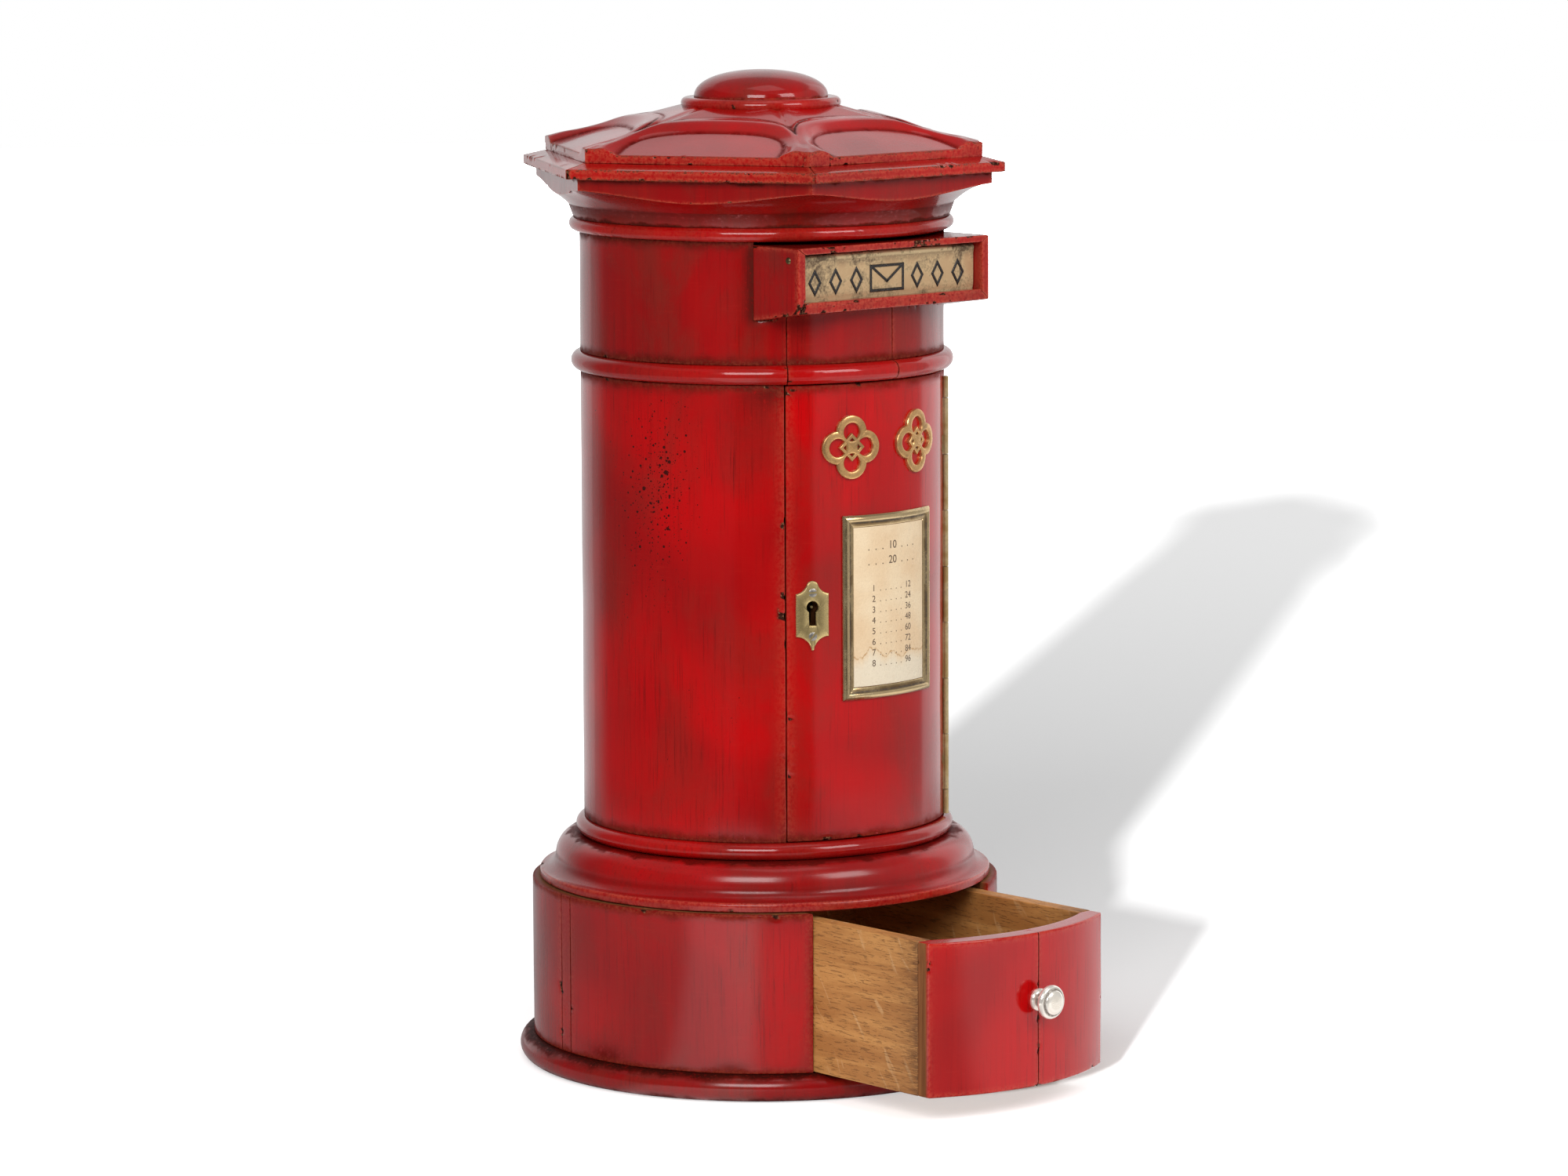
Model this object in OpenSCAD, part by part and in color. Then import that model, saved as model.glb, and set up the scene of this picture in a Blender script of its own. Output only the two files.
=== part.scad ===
// Letter box in the form of a round pillar: a wide base drum with a drawer, a round letter
// compartment with a hinged door, a posting slot with a swinging flap, and a six-sided cap.
// Millimetres. +Z up, the front (slot, door and drawer) faces -Y, the origin is the centre of
// the underside. Azimuths are measured from the front towards the viewer's right.
// The drawer is shown pulled out, the door and the flap shut and the lock bolt drawn back.

/* [Base] */
// Outer radius of the base drum
base_r = 108.5; // [104:0.5:114]
// Height of the base drum between plinth and moulding
base_h = 73.2; // [60:0.1:90]
// Wall thickness of the base drum
base_wall = 9.5; // [7:0.5:12]
// Height of the round-edged plinth board
plinth_h = 12.2; // [9:0.1:18]
// How far the plinth stands out from the base drum
plinth_out = 6.5; // [5:0.5:12]
// Height of the ogee moulding above the base drum
ogee_h = 20.5; // [17:0.1:26]
// Height of the upright fillet under the moulding's hollow
fillet_h = 4; // [3:0.1:6]
// Ledge of the base drum left outside the moulding
ogee_ledge = 3.5; // [2:0.5:6]

/* [Body] */
// Outer radius of the round body
drum_r = 84.1; // [80:0.1:87]
// Thickness of the staves of body and door
stave_t = 9; // [7.5:0.5:10.5]
// Height of the body between the lower and the middle bead
main_h = 208.8; // [196:0.1:250]
// Height of the slot drum between the middle and the upper bead
upper_h = 55.7; // [46:0.1:70]
// Height of the lower bead
bead_lower_h = 7.9; // [6:0.1:10]
// Height of the middle bead
bead_middle_h = 8.8; // [6:0.1:11]
// Height of the upper bead
bead_upper_h = 6.2; // [5:0.1:9]
// How far the middle bead stands out from the body
bead_out = 4.3; // [3:0.1:5.5]
// Thickness of the compartment's floor board
floor_t = 6; // [4:0.5:9]

/* [Cap] */
// Height of the cornice block with its cove
cornice_h = 21.4; // [18:0.1:28]
// Corner radius of the six-sided face of the cornice
fascia_r = 110.5; // [106:0.5:112]
// Height of the cornice's face at its corners
fascia_h = 5.2; // [3:0.1:7]
// Radius of the cove's hollow
cove_r = 36.8; // [34:0.2:42]
// Corner radius of the mitred cap strips
cap_r = 117; // [114:0.5:124]
// Height of the cap strips at their outer edge
cap_edge_h = 4.5; // [3:0.1:7]
// Rise of the cap strips towards the roof
cap_rise = 2.5; // [2:0.1:6]
// Width of the cap strips across their mitred ring
cap_strip_w = 22; // [18:0.5:30]
// Corner radius of the roof block
roof_r = 106; // [100:0.5:109]
// Upright edge of the roof block
roof_edge_h = 3.6; // [1:0.1:4]
// Rise of the roof from its edge to the finial
roof_rise = 16.9; // [12:0.1:24]
// Half width of the sunk arched panel on each roof face
panel_half_w = 38; // [32:0.5:42]
// Height of the sunk arched panel up the roof face
panel_h = 31; // [24:0.5:36]
// Width of the arched rib at its crown
rib_w = 13; // [8:0.5:16]
// Height of the ribs above the panels
rib_t = 2.5; // [1.5:0.1:4]

/* [Finial] */
// Outer radius of the finial disc
disc_r = 36.9; // [34:0.1:42]
// Height of the finial disc
disc_h = 5.4; // [4:0.1:8]
// Radius of the dome at its foot
dome_r = 30.8; // [26:0.1:31]
// Height of the dome
dome_h = 12.4; // [9:0.1:20]
// Diameter of the dowel that holds finial and roof
dowel_d = 12; // [8:0.5:16]

/* [Posting slot] */
// Outer width of the slot box
slot_w = 117.4; // [104:0.2:120]
// Outer height of the slot box at its front
slot_h = 29.4; // [26:0.1:34]
// How far the slot box stands out in front of the body
slot_out = 6.2; // [4:0.1:12]
// Thickness of the slot box cheeks
cheek_t = 4.3; // [3:0.1:6]
// Thickness of the slot box top board
slot_top_t = 3; // [2.5:0.1:5]
// Thickness of the slot box bottom board
slot_bottom_t = 3.8; // [2.5:0.1:6]
// Slope of the bottom board down towards the inside, in degrees
slot_slope = 8.5; // [3:0.5:11]
// Gap between the slot box and the upper bead
slot_head_gap = 1.7; // [0.5:0.1:4]
// Depth of the slot box boards from front to back
slot_depth = 40; // [38:0.5:50]
// Thickness of the flap plate
flap_t = 2.4; // [1.6:0.1:3]
// Radius of the rolled top edge of the flap
flap_barrel_r = 1.7; // [1.5:0.05:2]
// Radius of the pins that carry the flap
flap_pin_r = 0.8; // [0.6:0.05:0.9]
// Distance of the flap's pins behind the front of the slot box
flap_pin_back = 6.8; // [5:0.1:9]

/* [Door] */
// Azimuth of the door's lock edge
door_lock_a = -34.7; // [-38:0.1:-32]
// Azimuth of the hinge
hinge_a = 40.5; // [38:0.1:46]
// Gap at the door's top, bottom and lock edge
door_gap = 0.45; // [0.3:0.05:0.8]
// Number of hinge knuckles
knuckle_count = 9; // [5:2:13]
// Length of the lowest hinge knuckle
first_knuckle = 11.5; // [8:0.1:20]
// Length of the highest hinge knuckle
last_knuckle = 10.1; // [8:0.1:20]
// Outer radius of the hinge knuckles
knuckle_r = 1.35; // [1.2:0.05:1.6]
// Radius of the hinge pin
hinge_pin_r = 0.65; // [0.5:0.05:0.8]
// Thickness of the hinge leaves
leaf_t = 0.8; // [0.5:0.1:1]

/* [Lock] */
// Azimuth of the keyhole
key_a = -26.6; // [-27.5:0.1:-24]
// Height of the keyhole's round part above the door's foot
key_up = 107.2; // [70:0.1:130]
// Diameter of the keyhole's round part
key_d = 5.5; // [4:0.1:7]
// Width of the keyhole's slot
key_slot_w = 3.2; // [2:0.1:3.6]
// Drop of the keyhole's slot below the round part's centre
key_slot_h = 8.3; // [6:0.1:9]
// Half width of the escutcheon
escutcheon_half_w = 7.65; // [6.5:0.05:8]
// Thickness of the escutcheon
escutcheon_t = 1.2; // [0.8:0.1:2]
// Width of the lock plate
lock_w = 24; // [22:0.5:28]
// Reach of the lock plate above and below the lock case
lock_tab_h = 7.5; // [6.5:0.5:10]
// Depth of the lock case behind its plate
lock_case_d = 7; // [6:0.1:9]
// Height of the lock bolt
bolt_h = 7.6; // [5:0.1:9]
// Thickness of the lock bolt
bolt_t = 3; // [2:0.1:3.4]
// Travel of the lock bolt
bolt_travel = 5; // [3:0.1:6]

/* [Door fittings] */
// Azimuth of the middle of the notice frame
notice_a = 2.3; // [0:0.1:4]
// Width of the notice frame measured round the door
notice_w = 56; // [48:0.5:60]
// Height of the notice frame
notice_h = 84.4; // [70:0.1:98]
// Height of the notice frame's foot above the door's foot
notice_up = 63.6; // [50:0.1:75]
// Width of the notice frame's moulding
mould_w = 5.6; // [4:0.1:7]
// Height of the notice frame's moulding
mould_t = 2.2; // [1.6:0.1:3]
// Thickness of the card in the notice frame
card_t = 0.5; // [0.3:0.1:0.7]
// Distance of the middle of the two ornaments below the door's top
ornament_down = 28.8; // [20:0.1:40]
// Azimuth of the ornaments on either side of the front
ornament_a = 13.6; // [11:0.1:16]
// Overall height of an ornament
ornament_h = 29; // [22:0.5:32]
// Thickness of the ornaments
ornament_t = 1.8; // [1:0.1:2.5]

/* [Drawer] */
// Width of the drawer
drawer_w = 108; // [96:0.5:112]
// Gap under the drawer and on each side of it
drawer_gap = 0.4; // [0.3:0.05:0.8]
// Gap between the top of the drawer and the moulding
drawer_head_gap = 3; // [1:0.1:5]
// Thickness of the curved drawer front
front_t = 9.5; // [8:0.5:12]
// Thickness of the drawer front left at its ends
front_end_t = 7; // [5:0.5:9]
// Thickness of the drawer sides
side_t = 8; // [6:0.5:10]
// Thickness of the drawer back
back_t = 8; // [6:0.5:10]
// Drop of the drawer back's upper edge below the sides
back_drop = 6; // [0:0.5:12]
// Thickness of the drawer bottom
bottom_t = 4; // [3:0.5:6]
// Height of the groove for the drawer bottom above the drawer's lower edge
bottom_up = 5; // [4:0.5:8]
// Depth of the grooves for the drawer bottom
groove = 3; // [2:0.5:4]
// Distance of the drawer's back behind the middle of the box when shut
drawer_back_y = 70; // [60:1:76]
// How far the drawer is pulled out
drawer_out = 74.4; // [0:0.2:110]
// Height of the knob above the drawer's lower edge
knob_up = 39.4; // [30:0.1:46]
// Radius of the knob's head
knob_r = 7.7; // [6:0.1:10]
// Reach of the knob in front of the drawer front
knob_l = 12; // [10:0.1:18]
// Height of the guide blocks beside the drawer
guide_h = 12; // [8:0.5:20]
// Width of the guide blocks beside the drawer
guide_w = 8; // [6:0.5:12]

/* [Hidden] */
lacquer = "firebrick";
brass = "darkkhaki";
steel = "silver";
oak = "peru";
pine = "burlywood";

// Heights of the main levels, from the underside up
base_z = plinth_h;
ogee_z = base_z + base_h;
bead_lower_z = ogee_z + ogee_h;
main_z = bead_lower_z + bead_lower_h;
bead_middle_z = main_z + main_h;
upper_z = bead_middle_z + bead_middle_h;
bead_upper_z = upper_z + upper_h;
cornice_z = bead_upper_z + bead_upper_h;
cap_z = cornice_z + cornice_h;
cap_top_z = cap_z + cap_edge_h;
roof_z = cap_top_z + cap_rise;
roof_edge_z = roof_z + roof_edge_h;
disc_z = roof_edge_z + roof_rise;
dome_z = disc_z + disc_h;
dome_top_z = dome_z + dome_h;

// Extra length where one solid cuts another
cut = 0.5;
// Running clearance of pins in their bores
run = 0.05;
// Clearance between pieces that move past each other
slide_gap = 0.3;
inner_r = drum_r - stave_t;
base_in_r = base_r - base_wall;
// Longer than any distance across the plan
far = 2 * cap_r;

// Distance from the middle of a hexagon to its sides
function apothem(r) = r * cos(30);
// Angle that a length covers on the body's surface
function turn(length) = length / drum_r * 180 / PI;
// Point at radius r and azimuth a
function polar(r, a) = [r * sin(a), -r * cos(a)];
// Step t sideways from azimuth a, towards the viewer's right
function aside(t, a) = [t * cos(a), t * sin(a)];
// Points of an arc with centre c and half axes a and b
function arc(c, a, b, a0, a1, n) =
    [for (i = [0:n]) c + [a * cos(a0 + (a1 - a0) * i / n), b * sin(a0 + (a1 - a0) * i / n)]];
// Upper half of a superellipse with half width w, height h and exponent e, from right to left
function arch(w, h, e, n) = [for (i = [0:n])
    [w * sign(cos(180 * i / n)) * pow(abs(cos(180 * i / n)), 2 / e), h * pow(sin(180 * i / n), 2 / e)]];

// Puts children at azimuth a: their -Y points outwards and their +X to the viewer's right
module at(a) rotate([0, 0, a]) children();
// Extrudes a side view drawn as [y, z] over a width w across the front
module across(w) rotate([90, 0, 90]) linear_extrude(w, center = true) children();
// Extrudes a front view drawn as [x, z] outwards from radius r0 to r1
module outwards(r0, r1) translate([0, -r0, 0]) rotate([90, 0, 0]) linear_extrude(r1 - r0) children();

module ring(r0, r1, z, h) translate([0, 0, z]) difference() {
    cylinder(h = h, r = r1, $fn = 180);
    translate([0, 0, -cut]) cylinder(h = h + 2 * cut, r = r0, $fn = 180);
}

// Board or ring with a half-round outer edge
module half_round(r0, r1, z, h) translate([0, 0, z]) rotate_extrude($fn = 180) {
    translate([r0, 0]) square([r1 - h / 2 - r0, h]);
    intersection() {
        translate([r1 - h / 2, h / 2]) circle(d = h, $fn = 48);
        translate([r1 - h / 2 - cut, 0]) square([h, h]);
    }
}

// Part of a ring between two azimuths
module ring_part(a0, a1, r0, r1, z, h) rotate([0, 0, a0 - 90])
    rotate_extrude(angle = a1 - a0, $fn = 180) translate([r0, z]) square([r1 - r0, h]);

// Space between two upright planes, each parallel to its azimuth and set t to the right of it
module sector(a0, t0, a1, t1, z, h) translate([0, 0, z]) linear_extrude(h)
    polygon([aside(t0, a0), polar(far, a0) + aside(t0, a0), polar(1.4 * far, (a0 + a1) / 2),
        polar(far, a1) + aside(t1, a1), aside(t1, a1)]);

// Six-sided solid whose half section is given as [distance from the axis, height] points
module six_sided(p) intersection_for (a = [30, 90, 150]) rotate([90, 0, a])
    linear_extrude(2 * far, center = true)
        polygon(concat(p, [for (i = [len(p) - 1:-1:0]) [-p[i].x, p[i].y]]));

// Sixth part of the plan, kept back from its two mitres
module sixth() translate([0, -2 * mitre_gap, 0]) linear_extrude(2 * dome_top_z)
    polygon([[0, 0], [-far * tan(30), -far], [far * tan(30), -far]]);
mitre_gap = 0.08;

// Countersunk screws as [head radius, head height, shank radius, length], pointing up
plinth_screw = [3.5, 3, 1.75, plinth_h + 22];
plate_screw = [2.1, 1.2, 1, 8];
lock_screw = [2, 1.2, 1, 7.2];
leaf_screw = [1.6, leaf_t, 0.9, 8];
screw_slot = [0.6, 0.6];
module screw(s) {
    cylinder(h = s[1], r1 = s[0], r2 = s[2], $fn = 36);
    cylinder(h = s[3], r = s[2], $fn = 36);
}
module slotted_screw(s) difference() {
    screw(s);
    translate([-screw_slot[0] / 2, -2 * s[0], -cut]) cube([screw_slot[0], 4 * s[0], cut + screw_slot[1]]);
}

// Base

plinth_screw_sink = 0.4;
module at_plinth_screws() for (a = [60, 120, 240, 300])
    at(a) translate([0, -base_r + base_wall / 2, plinth_screw_sink]) children();

module plinth() color(lacquer) difference() {
    half_round(0, base_r + plinth_out, 0, plinth_h);
    at_plinth_screws() {
        screw(plinth_screw);
        translate([0, 0, -plinth_screw_sink - cut])
            cylinder(h = plinth_screw_sink + cut, r = plinth_screw[0], $fn = 36);
    }
}

module plinth_screws() color(steel) at_plinth_screws() slotted_screw(plinth_screw);

way_w = drawer_w + 2 * drawer_gap;
module base_drum() color(lacquer) difference() {
    ring(base_in_r, base_r, base_z, base_h);
    translate([-way_w / 2, -far, base_z - cut]) cube([way_w, far, base_h + 2 * cut]);
    at_plinth_screws() screw(plinth_screw);
}

guide_end_gap = 1;
guide_l = 2 * (sqrt(pow(base_in_r, 2) - pow(way_w / 2 + guide_w, 2)) - guide_end_gap);
module drawer_guides() color(pine) for (s = [-1, 1])
    translate([s * (way_w + guide_w) / 2 - guide_w / 2, -guide_l / 2, base_z])
        cube([guide_w, guide_l, guide_h]);

stop_w = 44;
stop_l = 9;
module drawer_stop() color(pine)
    translate([-stop_w / 2, drawer_back_y + slide_gap, base_z]) cube([stop_w, stop_l, guide_h]);

// Outline of the ogee moulding: a fillet, a hollow that flares out below and a round above
ogee_r = base_r - ogee_ledge;
ogee_top_r = drum_r + bead_out;
// Where the hollow turns into the round, as shares of the moulding's depth and height
ogee_turn = [0.56, 0.36];
ogee_mid_r = ogee_top_r + ogee_turn.x * (ogee_r - ogee_top_r);
ogee_mid_z = fillet_h + ogee_turn.y * (ogee_h - fillet_h);
fillet_chamfer = [1.4, 0.8];
fillet_step = [0.6, 0.4];
hollow = [ogee_r - fillet_step.x - ogee_mid_r, ogee_mid_z - fillet_h - fillet_step.y];
ogee_outline = concat([[0, 0], [ogee_r - fillet_chamfer.x, 0], [ogee_r, fillet_chamfer.y],
    [ogee_r, fillet_h]],
    arc([ogee_r - fillet_step.x, ogee_mid_z], hollow.x, hollow.y, 270, 180, 10),
    arc([ogee_top_r, ogee_mid_z], ogee_mid_r - ogee_top_r, ogee_h - ogee_mid_z, 8, 90, 10),
        [[0, ogee_h]]);

module base_moulding() color(lacquer) translate([0, 0, ogee_z]) rotate_extrude($fn = 180)
    polygon(ogee_outline);

// Body

bead_lower_out = bead_out - 0.5;
bead_upper_out = bead_out + 0.4;
module bead_lower() color(lacquer) half_round(inner_r, drum_r + bead_lower_out, bead_lower_z,
    bead_lower_h);
module bead_middle() color(lacquer) half_round(inner_r, drum_r + bead_out, bead_middle_z, bead_middle_h);
module bead_upper() color(lacquer) half_round(inner_r, drum_r + bead_upper_out, bead_upper_z,
    bead_upper_h);

module compartment_floor() color(pine) translate([0, 0, bead_lower_z])
    cylinder(h = floor_t, r = inner_r, $fn = 180);

// The two hinge leaves lie between the door and its jamb
leaf_gap = 0.3;
jamb_t = leaf_t + leaf_gap;
module door_way() sector(door_lock_a - turn(door_gap), 0, hinge_a, jamb_t, main_z - cut,
    main_h + 2 * cut);

module main_drum() color(lacquer) difference() {
    ring(inner_r, drum_r, main_z, main_h);
    door_way();
    at_leaf_screws(1) screw(leaf_screw);
    at_strike_screws() screw(leaf_screw);
}

slot_top_z = bead_upper_z - slot_head_gap;
slot_z = slot_top_z - slot_h;
slot_y = -(drum_r + slot_out);
slot_back_y = slot_y + slot_depth;
slot_back_z = slot_z - slot_depth * tan(slot_slope);
module slot_side_view() polygon([[slot_y, slot_z], [slot_y, slot_top_z], [slot_back_y, slot_top_z],
    [slot_back_y, slot_back_z]]);

module upper_drum() color(lacquer) difference() {
    ring(inner_r, drum_r, upper_z, upper_h);
    across(slot_w) slot_side_view();
    across(slot_w) translate([slot_y, slot_top_z - cut]) square([slot_depth, slot_head_gap + 2 * cut]);
}

// Slot box and flap

// Cross section of a slot box board whose ends are mitred to the cheeks
module mitred_board(t) polygon([[-slot_w / 2, 0], [slot_w / 2, 0], [slot_w / 2 - cheek_t, t],
    [-slot_w / 2 + cheek_t, t]]);

module slot_top_board() translate([0, slot_y, slot_top_z]) rotate([-90, 0, 0]) linear_extrude(slot_depth)
    mitred_board(slot_top_t);
module slot_top() color(lacquer) slot_top_board();

// Extrudes a front view drawn as [x, -z] along the bottom board's slope, down inwards
module sloping() translate([0, slot_y, slot_z]) rotate([-slot_slope, 0, 0]) translate([0, -slot_h, 0])
    rotate([-90, 0, 0]) linear_extrude(2 * slot_depth + 2 * slot_h) children();
module slot_bottom_board() intersection() {
    sloping() mirror([0, 1]) mitred_board(slot_bottom_t);
    across(2 * slot_w) translate([slot_y, slot_z - slot_h]) square([slot_depth, 2 * slot_h]);
}

flap_head_gap = 0.9;
flap_side_gap = 0.4;
flap_y = slot_y + flap_pin_back;
flap_axis_z = slot_top_z - slot_top_t - flap_head_gap - flap_barrel_r;
flap_w = slot_w - 2 * cheek_t - 2 * flap_side_gap;
flap_front_y = flap_y - flap_t / 2;
// Height of the bottom board's upper face at a depth y
function slot_floor_z(y) = slot_z + slot_bottom_t / cos(slot_slope) - (y - slot_y) * tan(slot_slope);
flap_foot_z = slot_floor_z(slot_y) + slide_gap;
// Low lip on the bottom board that stops the flap from swinging outwards
lip_h = 0.7;
lip_back_y = flap_front_y - slide_gap;
lip_top_z = flap_foot_z + lip_h;
lip_chamfer = 0.4;
lip_sink = 1;

module slot_bottom() color(lacquer) {
    slot_bottom_board();
    across(flap_w)
        polygon([[slot_y, slot_floor_z(slot_y) - lip_sink], [slot_y, lip_top_z - lip_chamfer],
            [slot_y + lip_chamfer, lip_top_z], [lip_back_y, lip_top_z],
                [lip_back_y, slot_floor_z(lip_back_y) - lip_sink]]);
}

// Cheek on side s (-1 left, 1 right), mitred to the boards above and below it
module cheek(s) color(lacquer) difference() {
    translate([0, slot_y, 0]) rotate([90, 0, 0]) mirror([0, 0, 1]) linear_extrude(slot_depth)
        polygon([[s * slot_w / 2, slot_back_z - slot_h], [s * slot_w / 2, slot_top_z],
            [s * (slot_w / 2 - cheek_t), slot_top_z - slot_top_t],
            [s * (slot_w / 2 - cheek_t), slot_back_z - slot_h]]);
    sloping() mirror([0, 1])
        polygon([[s * (slot_w / 2 + cheek_t), -slot_bottom_t],
            [s * (slot_w / 2 - 2 * cheek_t), 2 * slot_bottom_t],
            [s * (slot_w / 2 - 2 * cheek_t), -2 * slot_h], [s * (slot_w / 2 + cheek_t), -2 * slot_h]]);
    at_flap_pins() flap_pin_bar(flap_pin_r);
}
module slot_left_cheek() cheek(-1);
module slot_right_cheek() cheek(1);

// The pins enter from the cheeks' outer faces, pointing inwards
flap_pin_l = cheek_t + flap_side_gap + 6;
module at_flap_pins() for (s = [-1, 1]) translate([s * slot_w / 2, flap_y, flap_axis_z])
    rotate([0, -s * 90, 0]) children();
module flap_pin_bar(r) cylinder(h = flap_pin_l + (r - flap_pin_r) * 4, r = r, $fn = 48);

pin_head_r = 1.6;
pin_head_h = 0.6;
module flap_pins() color(brass) at_flap_pins() {
    flap_pin_bar(flap_pin_r);
    translate([0, 0, -pin_head_h]) cylinder(h = pin_head_h, r1 = 0.7 * pin_head_r, r2 = pin_head_r,
        $fn = 36);
}

flap_chamfer = 0.5;
module flap() color(brass) difference() {
    union() {
        across(flap_w)
            polygon([[flap_front_y + flap_chamfer, flap_foot_z],
                [flap_front_y, flap_foot_z + flap_chamfer],
                [flap_front_y, flap_axis_z], [flap_front_y + flap_t, flap_axis_z],
                [flap_front_y + flap_t, flap_foot_z]]);
        translate([-flap_w / 2, flap_y, flap_axis_z]) rotate([0, 90, 0])
            cylinder(h = flap_w, r = flap_barrel_r, $fn = 48);
    }
    at_flap_pins() flap_pin_bar(flap_pin_r + run);
}

// Row of lozenges with an envelope in the middle, raised on the flap's face
figure_t = 0.4;
figure_line = 1.3;
figure_h = 0.42 * slot_h;
figure_mid_z = (flap_foot_z + flap_axis_z - flap_barrel_r) / 2;
lozenge_w = 0.64 * figure_h;
lozenge_step = 0.117 * flap_w;
lozenge_line = [1.2 * figure_line, 1.8 * figure_line];
envelope_w = 1.7 * figure_h;
envelope_dip = 0.1 * figure_h;
module lozenge(w, h) polygon([[0, h / 2], [w / 2, 0], [0, -h / 2], [-w / 2, 0]]);
module envelope() {
    difference() {
        square([envelope_w, figure_h], center = true);
        square([envelope_w - 2 * figure_line, figure_h - 2 * figure_line], center = true);
    }
    for (s = [-1, 1])
        polygon([[s * envelope_w / 2, figure_h / 2], [0, -envelope_dip],
            [0, -envelope_dip - lozenge_line.x],
            [s * envelope_w / 2, figure_h / 2 - lozenge_line.x]]);
}
module flap_figures() color("black") translate([0, 0, figure_mid_z])
    outwards(-flap_front_y, -flap_front_y + figure_t) {
    envelope();
    for (s = [-1, 1], i = [1:3]) translate([s * (envelope_w / 2 + (i - 0.35) * lozenge_step), 0])
        difference() {
        lozenge(lozenge_w, figure_h);
        lozenge(lozenge_w - 2 * lozenge_line.x, figure_h - 2 * lozenge_line.y);
    }
}

// Cap

// The cove runs from the neck to just past the corners of the cornice
cove_top_z = cap_z - fascia_h;
cove_past = 4.2;
cove_centre = [fascia_r + cove_past, cove_top_z - sqrt(cove_r * cove_r - cove_past * cove_past)];
cove_foot_r = drum_r + bead_out + 0.7;
cove_neck_r = drum_r + bead_out - 1.5;
cove_end_r = fascia_r + cove_past / 2;
cove_a0 = 180 - acos((cove_centre.x - cove_foot_r) / cove_r);
cove_a1 = 180 - acos((cove_centre.x - cove_end_r) / cove_r);
module cornice() color(lacquer) intersection() {
    rotate_extrude($fn = 180) polygon(concat([[0, cornice_z], [cove_neck_r, cornice_z]],
        arc(cove_centre, cove_r, cove_r, cove_a0, cove_a1, 16), [[cove_end_r, cap_z], [0, cap_z]]));
    six_sided([[apothem(fascia_r), cornice_z - cut], [apothem(fascia_r), cap_z + cut]]);
}

dowel_sink = 2;
dowel_foot_z = cap_z + dowel_sink;
dowel_top_z = dome_z + dome_h / 2;
module dowel() translate([0, 0, dowel_foot_z]) cylinder(h = dowel_top_z - dowel_foot_z, d = dowel_d,
    $fn = 48);
module finial_dowel() color(pine) dowel();

core_a = apothem(cap_r) - cap_strip_w;
module cap_core() color(pine) difference() {
    six_sided([[core_a, cap_z], [core_a, roof_z]]);
    dowel();
}

module cap_strips() color(lacquer) for (a = [0:60:300]) at(a) intersection() {
    rotate([90, 0, -90]) linear_extrude(2 * far, center = true)
        polygon([[apothem(cap_r), cap_z], [apothem(cap_r), cap_top_z], [apothem(roof_r), roof_z],
            [core_a, roof_z], [core_a, cap_z]]);
    sixth();
}

roof_top_r = disc_r - disc_h / 2;
module roof() color(lacquer) difference() {
    six_sided([[apothem(roof_r), roof_z], [apothem(roof_r), roof_edge_z], [roof_top_r, disc_z]]);
    dowel();
}

// One arched rib, drawn in the plane of the roof face with its foot at the eaves
roof_pitch = atan(roof_rise / (apothem(roof_r) - roof_top_r));
arch_steps = 24;
arch_tail = 4;
// Exponents of the superellipses: 2 is an ellipse, higher ones have fuller shoulders
rib_power = 2.4;
panel_power = 2.8;
dome_power = 2.15;
// The feet of neighbouring arches meet on the hip, which comes in as it climbs
foot_top_w = roof_r / 2 - (panel_h - 1) * cos(roof_pitch) * tan(30);
module rib_outline() difference() {
    union() {
        polygon(arch(panel_half_w + rib_w / 2, panel_h + rib_w, rib_power, arch_steps));
        polygon([[-roof_r / 2 - arch_tail, -arch_tail], [roof_r / 2 + arch_tail, -arch_tail],
            [roof_r / 2 + arch_tail, 0], [foot_top_w, panel_h - 1], [-foot_top_w, panel_h - 1],
                [-roof_r / 2 - arch_tail, 0]]);
    }
    polygon(concat([[panel_half_w, -2 * arch_tail]], arch(panel_half_w, panel_h, panel_power, arch_steps),
        [[-panel_half_w, -2 * arch_tail]]));
}

module roof_arches() color(lacquer) for (a = [0:60:300]) at(a) intersection() {
    translate([0, -apothem(roof_r), roof_edge_z]) rotate([roof_pitch, 0, 0]) linear_extrude(rib_t)
        rib_outline();
    sixth();
    six_sided([[apothem(roof_r), roof_z], [apothem(roof_r), dome_z]]);
}

module finial_disc() color(lacquer) difference() {
    half_round(0, disc_r, disc_z, disc_h);
    dowel();
}

module finial_dome() color(lacquer) difference() {
    translate([0, 0, dome_z]) rotate_extrude($fn = 120) intersection() {
        polygon(concat([[0, 0]], arch(dome_r, dome_h, dome_power, 36)));
        square([dome_r, dome_h]);
    }
    dowel();
}

// Door

door_z = main_z + door_gap;
door_h = main_h - 2 * door_gap;
module door_shell(r0, r1) ring(r0, r1, door_z, door_h);

key_z = door_z + key_up;
module keyhole(r0, r1) at(key_a) translate([0, 0, key_z]) outwards(r0, r1) {
    circle(d = key_d, $fn = 48);
    translate([-key_slot_w / 2, -key_slot_h]) square([key_slot_w, key_slot_h]);
}

// The lock sits in a flat seat cut into the door's inner face, close to the door's lock edge
lock_seat_d = 0.5;
lock_seat_r = inner_r + lock_seat_d;
lock_plate_t = 1.2;
lock_case_r = lock_seat_r - lock_plate_t;
lock_x = slide_gap - (lock_case_r - lock_case_d) * tan(key_a - door_lock_a);
case_wall = 1;
case_w = lock_w - 7;
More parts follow.
